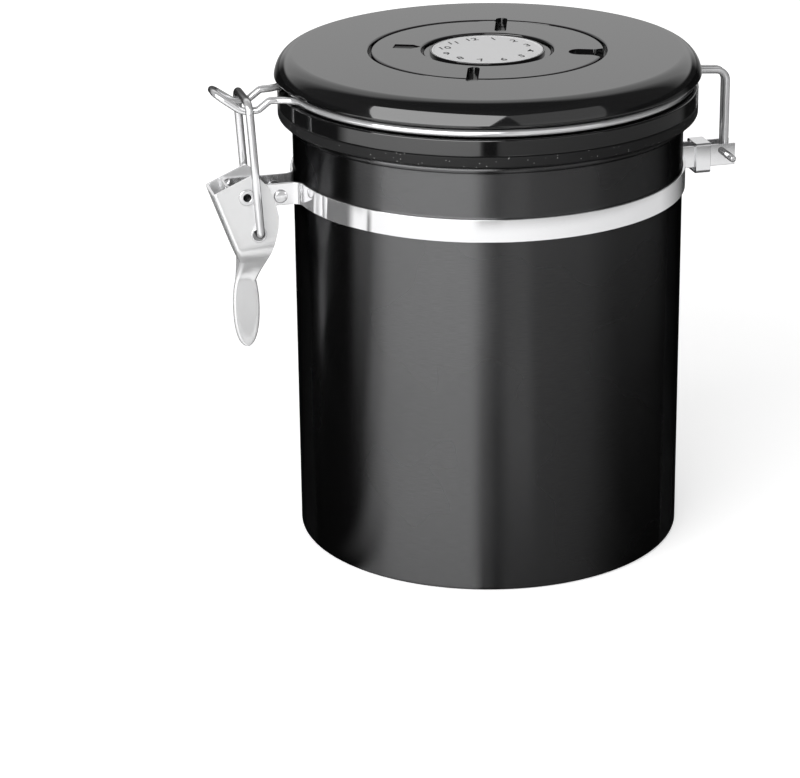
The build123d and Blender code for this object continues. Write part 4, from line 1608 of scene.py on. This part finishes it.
@dataclass
class DateDial:
    """The turning date ring, its hub and the silver plate with plain numbers."""

    finishes: Finishes
    # The ring
    top: float = 0.1562
    low: float = 0.1531
    fit: float = 0.0001
    radius: float = 0.03605
    inner: float = 0.0205
    ring_bend: float = 0.0006
    ring_edge: float = 0.00014
    ring_segments: int = 256
    lip_radius: float = 0.0180
    lip_height: float = 0.0012
    # The hub and its button
    hub_radius: float = 0.0198
    hub_rim: float = 0.0009
    hub_bend: float = 0.0003
    hub_stem: float = 0.0176
    hub_pin: float = 0.0060
    hub_low: float = 0.1500
    hub_barb: float = 0.0008
    hub_segments: int = 192
    button_radius: float = 0.0179
    button_outer_bend: float = 0.00025
    button_inner_bend: float = 0.00015
    # The plate
    plate_radius: float = 0.0173
    plate_thickness: float = 0.0005
    plate_rim: float = 0.0006
    plate_step: float = 0.00015
    plate_bend: float = 0.00018
    plate_step_bend: float = 0.0001
    plate_segments: int = 160
    # The slots, the notch and the arrow, and how far they are turned with the ring
    turn: float = -24.0
    slot_width: float = 0.0037
    slot_lean: float = 6.0
    slot_start: float = 0.0225
    slot_end: float = 0.0402
    slot_depth: float = 0.0020
    slot_bend_share: float = 0.98
    slot_bend_steps: int = 8
    notch_width: float = 0.0070
    notch_start: float = 0.0253
    notch_bend_share: float = 0.95
    notch_neck: float = 0.0030
    notch_neck_bend: float = 0.002
    notch_flare: float = 0.0104
    notch_mouth: float = 0.0006
    notch_mouth_bend: float = 0.001
    notch_overrun: float = 0.001
    notch_bend_steps: int = 6
    arrow_tip: float = 0.0209
    arrow_tip_bend: float = 0.0003
    arrow_tail: float = 0.0294
    arrow_width: float = 0.0049
    arrow_shoulder: float = 0.0026
    arrow_bend: float = 0.0004
    arrow_bend_steps: int = 3
    arrow_depth: float = 0.00035
    # The numbers
    number_count: int = 12
    number_circle: float = 0.0134
    number_height: float = 0.0042
    number_turn: float = 5.9
    number_extrusion: float = 0.00002
    number_weight: float = 0.00003
    number_spacing: float = 1.05
    number_lift: float = 0.00001

    @classmethod
    def slot_angles(cls) -> tuple[float, float]:
        """Return the angles of the two slots that cross the dial's edge."""
        return cls.turn + 90.0, cls.turn + 270.0

    @classmethod
    def slot_cutter(cls, angle: float, top: float) -> Mesh:
        """Make the shape of one slot, with round ends.

        Args:
            angle: the slot's angle in degrees.
            top: the level of the surface that it is cut into.

        Returns:
            The closed mesh that is cut away.
        """
        half = cls.slot_width / 2.0
        outline = box_outline((cls.slot_start, -half), (cls.slot_end, half), half * cls.slot_bend_share,
                              cls.slot_bend_steps)
        mesh = prism_mesh("slot", outline, top, cls.slot_depth)
        middle = Vector(((cls.slot_start + cls.slot_end) / 2.0, 0.0, 0.0))
        lean = Matrix.Translation(middle) @ Matrix.Rotation(math.radians(cls.slot_lean), 4, "Z")
        mesh.transform(lean @ Matrix.Translation(-middle))
        mesh.transform(Matrix.Rotation(math.radians(angle), 4, "Z"))
        return mesh

    def notch_cutter(self) -> Mesh:
        """Make the shape of the notch that opens to the dial's edge, narrow inside and flared outside.

        Returns:
            The closed mesh that is cut away.
        """
        half, flare = self.notch_width / 2.0, self.notch_flare / 2.0
        outline = rounded(both_sides([
            Corner((self.notch_start, -half), half * self.notch_bend_share),
            Corner((self.radius - self.notch_neck, -half), self.notch_neck_bend),
            Corner((self.radius - self.notch_mouth, -flare), self.notch_mouth_bend),
            Corner((self.radius + self.notch_overrun, -flare)),
        ]), closed=True, steps=self.notch_bend_steps)
        mesh = prism_mesh("notch", outline, self.top, self.slot_depth)
        mesh.transform(Matrix.Rotation(math.radians(self.turn), 4, "Z"))
        return mesh

    def arrow_cutter(self) -> Mesh:
        """Make the shape of the arrow that points at the plate.

        Returns:
            The closed mesh that is cut away.
        """
        half, shoulder = self.arrow_width / 2.0, self.arrow_tip + self.arrow_shoulder
        outline = rounded([
            Corner((self.arrow_tip, 0.0), self.arrow_tip_bend),
            *both_sides([Corner((place, half), self.arrow_bend) for place in (shoulder, self.arrow_tail)]),
        ], closed=True, steps=self.arrow_bend_steps)
        mesh = prism_mesh("arrow", outline, self.top, self.arrow_depth)
        mesh.transform(Matrix.Rotation(math.radians(self.turn + 180.0), 4, "Z"))
        return mesh

    def build_ring(self) -> None:
        """Turn the date ring and cut its slots, its notch and its arrow."""
        lip_top = self.low + self.lip_height
        corners = [
            Corner((self.lip_radius, self.low)), Corner((self.radius, self.low)),
            Corner((self.radius, self.top), self.ring_bend), Corner((self.inner, self.top), self.ring_bend),
            Corner((self.inner, lip_top)), Corner((self.lip_radius, lip_top)),
        ]
        piece = turned("date_ring", corners, self.finishes.dial, self.ring_segments)
        for angle in self.slot_angles():
            cut(piece, self.slot_cutter(angle, self.top))
        cut(piece, self.notch_cutter())
        # The arrow's recess takes the duller finish, painted shade in the recess.
        cut(piece, self.arrow_cutter(), self.finishes.mark)
        bevel_edges(piece, self.ring_edge)
        finish_piece(piece, "dial", "dial_plastic", "dial_ring")

    def build_hub(self) -> None:
        """Turn the hub, whose edge holds the date ring down."""
        floor = self.low - self.fit
        rim_low = self.low + self.lip_height + self.fit
        rim_top = rim_low + self.hub_rim
        seat = self.top - self.plate_thickness
        barb_top = floor - LID_WALL - self.fit
        inside = self.plate_radius + self.fit
        corners = [
            Corner((0.0, self.hub_low)), Corner((self.hub_pin, self.hub_low), self.hub_bend),
            Corner((self.hub_pin + self.hub_barb, barb_top)), Corner((self.hub_pin, barb_top)),
            Corner((self.hub_pin, floor)), Corner((self.hub_stem, floor)), Corner((self.hub_stem, rim_low)),
            Corner((self.hub_radius, rim_low)), Corner((self.hub_radius, rim_top), self.hub_bend),
            Corner((self.button_radius, rim_top)),
            Corner((self.button_radius, self.top), self.button_outer_bend),
            Corner((inside, self.top), self.button_inner_bend), Corner((inside, seat)), Corner((0.0, seat)),
        ]
        piece = turned("dial_button", corners, self.finishes.dial, self.hub_segments)
        finish_piece(piece, "lid", "dial_plastic", "dial_hub")

    def number_mesh(self, number: int) -> Mesh:
        """Draw one plain number.

        Args:
            number: the number.

        Returns:
            Its mesh, flat, with its middle at the origin.
        """
        curve = bpy.data.curves.new(f"number_{number}", "FONT")
        curve.body = str(number)
        curve.size = self.number_height
        curve.align_x = "CENTER"
        curve.align_y = "CENTER"
        curve.extrude = self.number_extrusion
        curve.offset = self.number_weight
        curve.space_character = self.number_spacing
        carrier = placed(curve.name, curve)
        mesh = shape_of(carrier)
        bpy.data.objects.remove(carrier)
        bpy.data.curves.remove(curve)
        return mesh

    def build_plate(self) -> None:
        """Turn the silver plate."""
        low, face = self.top - self.plate_thickness, self.top - self.plate_step
        rim_in = self.plate_radius - self.plate_rim
        corners = [
            Corner((0.0, low)), Corner((self.plate_radius, low)),
            Corner((self.plate_radius, self.top), self.plate_bend),
            Corner((rim_in, self.top), self.plate_step_bend),
            Corner((rim_in - self.plate_step, face), self.plate_step_bend), Corner((0.0, face)),
        ]
        piece = turned("silver_plate", corners, self.finishes.plate, self.plate_segments)
        finish_piece(piece, "lid", "plate_silver", "number_plate")

    def build_numbers(self) -> None:
        """Print plain numbers round the plate."""
        facing = Matrix.Rotation(math.radians(self.number_turn), 4, "Z")
        build = bmesh.new()
        for number in range(1, self.number_count + 1):
            angle = math.radians(90.0 - 360.0 / self.number_count * number + self.number_turn)
            place = Vector((math.cos(angle), math.sin(angle), 0.0)) * self.number_circle
            place.z = self.top - self.plate_step + self.number_lift
            mesh = self.number_mesh(number)
            mesh.transform(Matrix.Translation(place) @ facing)
            build.from_mesh(mesh)
            bpy.data.meshes.remove(mesh)
        piece = new_piece("plate_numbers", mesh_of("plate_numbers", build), self.finishes.ink)
        finish_piece(piece, "lid", "plate_silver")

    def build(self) -> None:
        """Build the dial."""
        self.build_ring()
        self.build_hub()
        self.build_plate()
        self.build_numbers()


@dataclass
class GasValve:
    """The valve in the plug, kept as the model has it, with its own finishes."""

    finishes: Finishes

    def build(self) -> None:
        """Dress the valve's nodes."""
        dress = {
            "valve_body": self.finishes.valve, "valve_cover": self.finishes.valve,
            "valve_flap": self.finishes.flap, "filter_screen": self.finishes.screen,
        }
        for node, material in dress.items():
            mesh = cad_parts[node].data
            mesh.materials.clear()
            mesh.materials.append(material)
            LOG.info("%s: dressed", node)


# The studio


@dataclass(frozen=True)
class Softbox:
    """A large soft lamp, placed by its angles from the camera's side and above the floor."""

    name: str
    azimuth: float
    elevation: float
    reach: float
    size: Point
    power: float

    def hang(self, turn: Matrix, target: Vector) -> None:
        """Hang the lamp.

        Args:
            turn: the turn from the camera's ground frame to the object's frame.
            target: the place that it looks at.
        """
        lamp = bpy.data.lights.new(self.name, "AREA")
        lamp.shape = "RECTANGLE"
        lamp.size, lamp.size_y = self.size
        lamp.energy = self.power
        side, lift = math.radians(self.azimuth), math.radians(self.elevation)
        spot = Vector((math.sin(side) * math.cos(lift), -math.cos(side) * math.cos(lift), math.sin(lift)))
        place = turn @ (spot * self.reach) + target
        aim = (target - place).to_track_quat("-Z", "Y")
        placed(self.name, lamp).matrix_world = Matrix.Translation(place) @ aim.to_matrix().to_4x4()


@dataclass
class Studio:
    """Pale floor, soft lamps, a plain world and the camera.

    The zones are rings of the floor as polished pieces mirror it: each has the radius that it ends at, and
    azimuths from the camera's side with the grey levels there. The sky's levels are given in the same way.
    """

    # The lamps
    lamps: tuple[Softbox, ...] = (
        Softbox("left_softbox", -30.0, 26.0, 1.5, (1.9, 1.2), 24.0),
        Softbox("right_softbox", 40.0, 24.0, 1.6, (1.4, 1.1), 2.0),
    )
    lamp_target: Point = (0.0, 0.0, 0.08)
    # The floor, how it fades into white, and its zones
    floor_half: float = 30.0
    floor_pale: float = 0.93
    floor_roughness: float = 0.9
    lift: float = 0.45
    lift_start: float = 0.25
    lift_end: float = 1.5
    zones: tuple[tuple[float, tuple[Point, ...]], ...] = (
        (0.085, (
            (-45.0, 0.02), (-39.0, 0.9), (-4.0, 0.9), (-1.5, 0.03), (3.0, 0.03), (6.0, 0.25), (32.0, 0.15),
            (48.0, 0.02))),
        (0.15, (
            (-60.0, 0.02), (-54.0, 0.9), (-7.0, 0.9), (-2.5, 0.03), (4.0, 0.03), (9.0, 0.25), (50.0, 0.15),
            (65.0, 0.02))),
        (0.355, (
            (-68.0, 0.02), (-63.0, 0.9), (-8.0, 0.9), (-3.0, 0.03), (5.0, 0.03), (11.0, 0.6), (21.5, 0.6),
            (23.5, 0.22), (60.0, 0.14), (75.0, 0.02))),
        (0.445, (
            (-118.0, 0.0), (-114.0, 0.8), (-106.0, 0.8), (-102.0, 0.0), (-82.0, 0.0), (-77.0, 0.95),
            (-69.0, 0.95), (-68.0, 0.0), (-66.5, 0.0), (-65.5, 0.95), (112.0, 0.95), (130.0, 0.5),
            (150.0, 0.02))),
        (0.51, (
            (-73.0, 0.02), (-67.0, 0.9), (-8.0, 0.9), (-3.0, 0.03), (5.0, 0.03), (10.0, 0.25), (60.0, 0.14),
            (75.0, 0.02))),
        (1.0, (
            (-165.0, 0.6), (-150.0, 0.02), (-84.0, 0.02), (-76.0, 1.0), (-4.0, 1.0), (-2.5, 0.02),
            (4.5, 0.02), (6.0, 0.3), (122.0, 0.26), (130.0, 0.02), (150.0, 0.02), (165.0, 0.6))),
    )
    zone_soft: float = 0.02
    # The sky
    low_sky: tuple[Point, ...] = (
        (-165.0, 0.6), (-150.0, 0.03), (-80.0, 0.03), (-65.0, 0.15), (65.0, 0.15), (80.0, 0.03),
        (150.0, 0.03), (165.0, 0.6),
    )
    high_sky: tuple[Point, ...] = ((-142.0, 0.76), (-118.0, 0.08), (118.0, 0.08), (142.0, 0.76))
    high_sky_rise: float = 0.17
    high_sky_soft: float = 0.03
    ceiling: float = 0.06
    ceiling_rise: float = 0.88
    ceiling_soft: float = 0.06
    sky: float = 0.45
    # The camera, in its own ground frame, and the photograph's width in pixels
    distance: float = 0.88611
    height: float = 0.38121
    around: float = 16.0
    yaw: float = -0.032
    pitch: float = 0.3639
    roll: float = -0.0125
    focal_pixels: float = 2932.1
    frame_pixels: float = 800.0
    sensor: float = 36.0
    clip_start: float = 0.01

    def turned_back(self) -> Matrix:
        """Return the turn from the camera's ground frame to the object's frame."""
        return Matrix.Rotation(math.radians(-self.around), 4, "Z")

    def build_camera(self) -> None:
        """Place the camera at the photograph's angle; its yaw, pitch and roll are in radians."""
        camera = bpy.data.cameras.new("camera")
        camera.sensor_width = self.sensor
        camera.lens = self.focal_pixels * self.sensor / self.frame_pixels
        camera.clip_start = self.clip_start
        yaw, pitch, roll = self.yaw, self.pitch, self.roll
        ahead = Vector((math.sin(yaw) * math.cos(pitch), math.cos(yaw) * math.cos(pitch), -math.sin(pitch)))
        right = Vector((math.cos(yaw), -math.sin(yaw), 0.0))
        up = right.cross(ahead)
        tilted_right = right * math.cos(roll) + up * math.sin(roll)
        tilted_up = up * math.cos(roll) - right * math.sin(roll)
        place = Matrix.Translation((0.0, -self.distance, self.height))
        columns = Matrix((tilted_right, tilted_up, -ahead)).transposed().to_4x4()
        eye = placed("camera", camera)
        eye.matrix_world = self.turned_back() @ place @ columns
        bpy.context.scene.camera = eye

    def azimuth(self, tree: NodeTree, place: NodeSocket) -> NodeSocket:
        """Find the azimuth of a place from the camera's side.

        Args:
            tree: the node tree.
            place: the place, or a direction.

        Returns:
            The socket with the azimuth, from 0 at -180 degrees to 1 at 180.
        """
        rotation = (0.0, 0.0, math.radians(self.around))
        spot = add_node(tree, "ShaderNodeMapping", {"Vector": place, "Rotation": rotation})
        split = add_node(tree, "ShaderNodeSeparateXYZ", {"Vector": spot.outputs["Vector"]})
        back = calculate(tree, "MULTIPLY", split.outputs["Y"], -1.0)
        turn = calculate(tree, "ARCTAN2", split.outputs["X"], back)
        return spread(tree, turn, 0.0, 1.0, -math.pi, math.pi)

    @staticmethod
    def cards(tree: NodeTree, azimuth: NodeSocket, stops: Sequence[Point]) -> NodeSocket:
        """Set pale and dark cards round the object.

        Args:
            tree: the node tree.
            azimuth: the azimuth, from 0 to 1.
            stops: azimuths in degrees, each with its grey level.

        Returns:
            The socket with the grey level.
        """
        return ramp(tree, azimuth, [((degrees + 180.0) / 360.0, (level,) * 3) for degrees, level in stops])

    @staticmethod
    def past(tree: NodeTree, value: NodeSocket, limit: float, soft: float) -> NodeSocket:
        """Return 1 where a value is past its limit, and 0 before it."""
        return spread(tree, value, 0.0, 1.0, limit - soft, limit + soft)

    def build_floor(self) -> None:
        """Lay the pale floor, whose mirrored side has cards."""
        half = self.floor_half
        mesh = bpy.data.meshes.new("floor")
        mesh.from_pydata([(-half, -half, 0.0), (half, -half, 0.0), (half, half, 0.0), (-half, half, 0.0)], [],
                         [(0, 1, 2, 3)])
        floor = placed("floor", mesh)
        material = bpy.data.materials.new("floor_white")
        material.use_nodes = True
        tree = material.node_tree
        place = add_node(tree, "ShaderNodeTexCoord").outputs["Object"]
        away = add_node(tree, "ShaderNodeVectorMath", {0: place}, operation="LENGTH").outputs["Value"]
        azimuth = self.azimuth(tree, place)
        mirrored = self.cards(tree, azimuth, self.zones[0][1])
        for (end, _), (_, stops) in zip(self.zones, self.zones[1:]):
            beyond = self.past(tree, away, end, self.zone_soft)
            mirrored = blend(tree, beyond, mirrored, self.cards(tree, azimuth, stops))
        ray = add_node(tree, "ShaderNodeLightPath").outputs
        outward = spread(tree, away, self.lift, 1.0, self.lift_start, self.lift_end)
        set_inputs(tree, tree.nodes["Principled BSDF"], {
            "Base Color": blend(tree, ray["Is Glossy Ray"], grey(self.floor_pale), mirrored),
            "Roughness": self.floor_roughness,
            "Specular IOR Level": 0.0,
            "Emission Color": grey(1.0),
            "Emission Strength": calculate(tree, "MULTIPLY", outward, ray["Is Camera Ray"]),
        })
        mesh.materials.append(material)

    def build_world(self) -> None:
        """Light everything evenly, with cards in the sky for mirrored rays and white for the camera."""
        world = bpy.data.worlds.new("studio")
        world.use_nodes = True
        tree = world.node_tree
        way = add_node(tree, "ShaderNodeTexCoord").outputs["Generated"]
        rise = add_node(tree, "ShaderNodeSeparateXYZ", {"Vector": way}).outputs["Z"]
        azimuth = self.azimuth(tree, way)
        mirrored = blend(tree, self.past(tree, rise, self.high_sky_rise, self.high_sky_soft),
                         self.cards(tree, azimuth, self.low_sky), self.cards(tree, azimuth, self.high_sky))
        mirrored = blend(tree, self.past(tree, rise, self.ceiling_rise, self.ceiling_soft), mirrored,
                         grey(self.ceiling))
        ray = add_node(tree, "ShaderNodeLightPath").outputs
        unseen = blend(tree, ray["Is Glossy Ray"], grey(self.sky), mirrored)
        seen = blend(tree, ray["Is Camera Ray"], unseen, grey(1.0))
        set_inputs(tree, tree.nodes["Background"], {"Color": seen})
        bpy.context.scene.world = world

    def build(self) -> None:
        """Build the studio."""
        self.build_camera()
        self.build_floor()
        self.build_world()
        for lamp in self.lamps:
            lamp.hang(self.turned_back(), Vector(self.lamp_target))
        bpy.context.scene.view_settings.view_transform = "Standard"


def main() -> None:
    """Build the studio and every sub-assembly."""
    logging.basicConfig(level=logging.INFO, format="%(message)s")
    Studio().build()
    finishes = Finishes()
    for assembly in (CanisterBody(finishes), StrapBand(finishes), WireWork(finishes), ThumbLever(finishes),
                     LidShells(finishes), DateDial(finishes), GasValve(finishes)):
        assembly.build()
        LOG.info("%s is built", type(assembly).__name__)


if __name__ == "__main__":
    main()
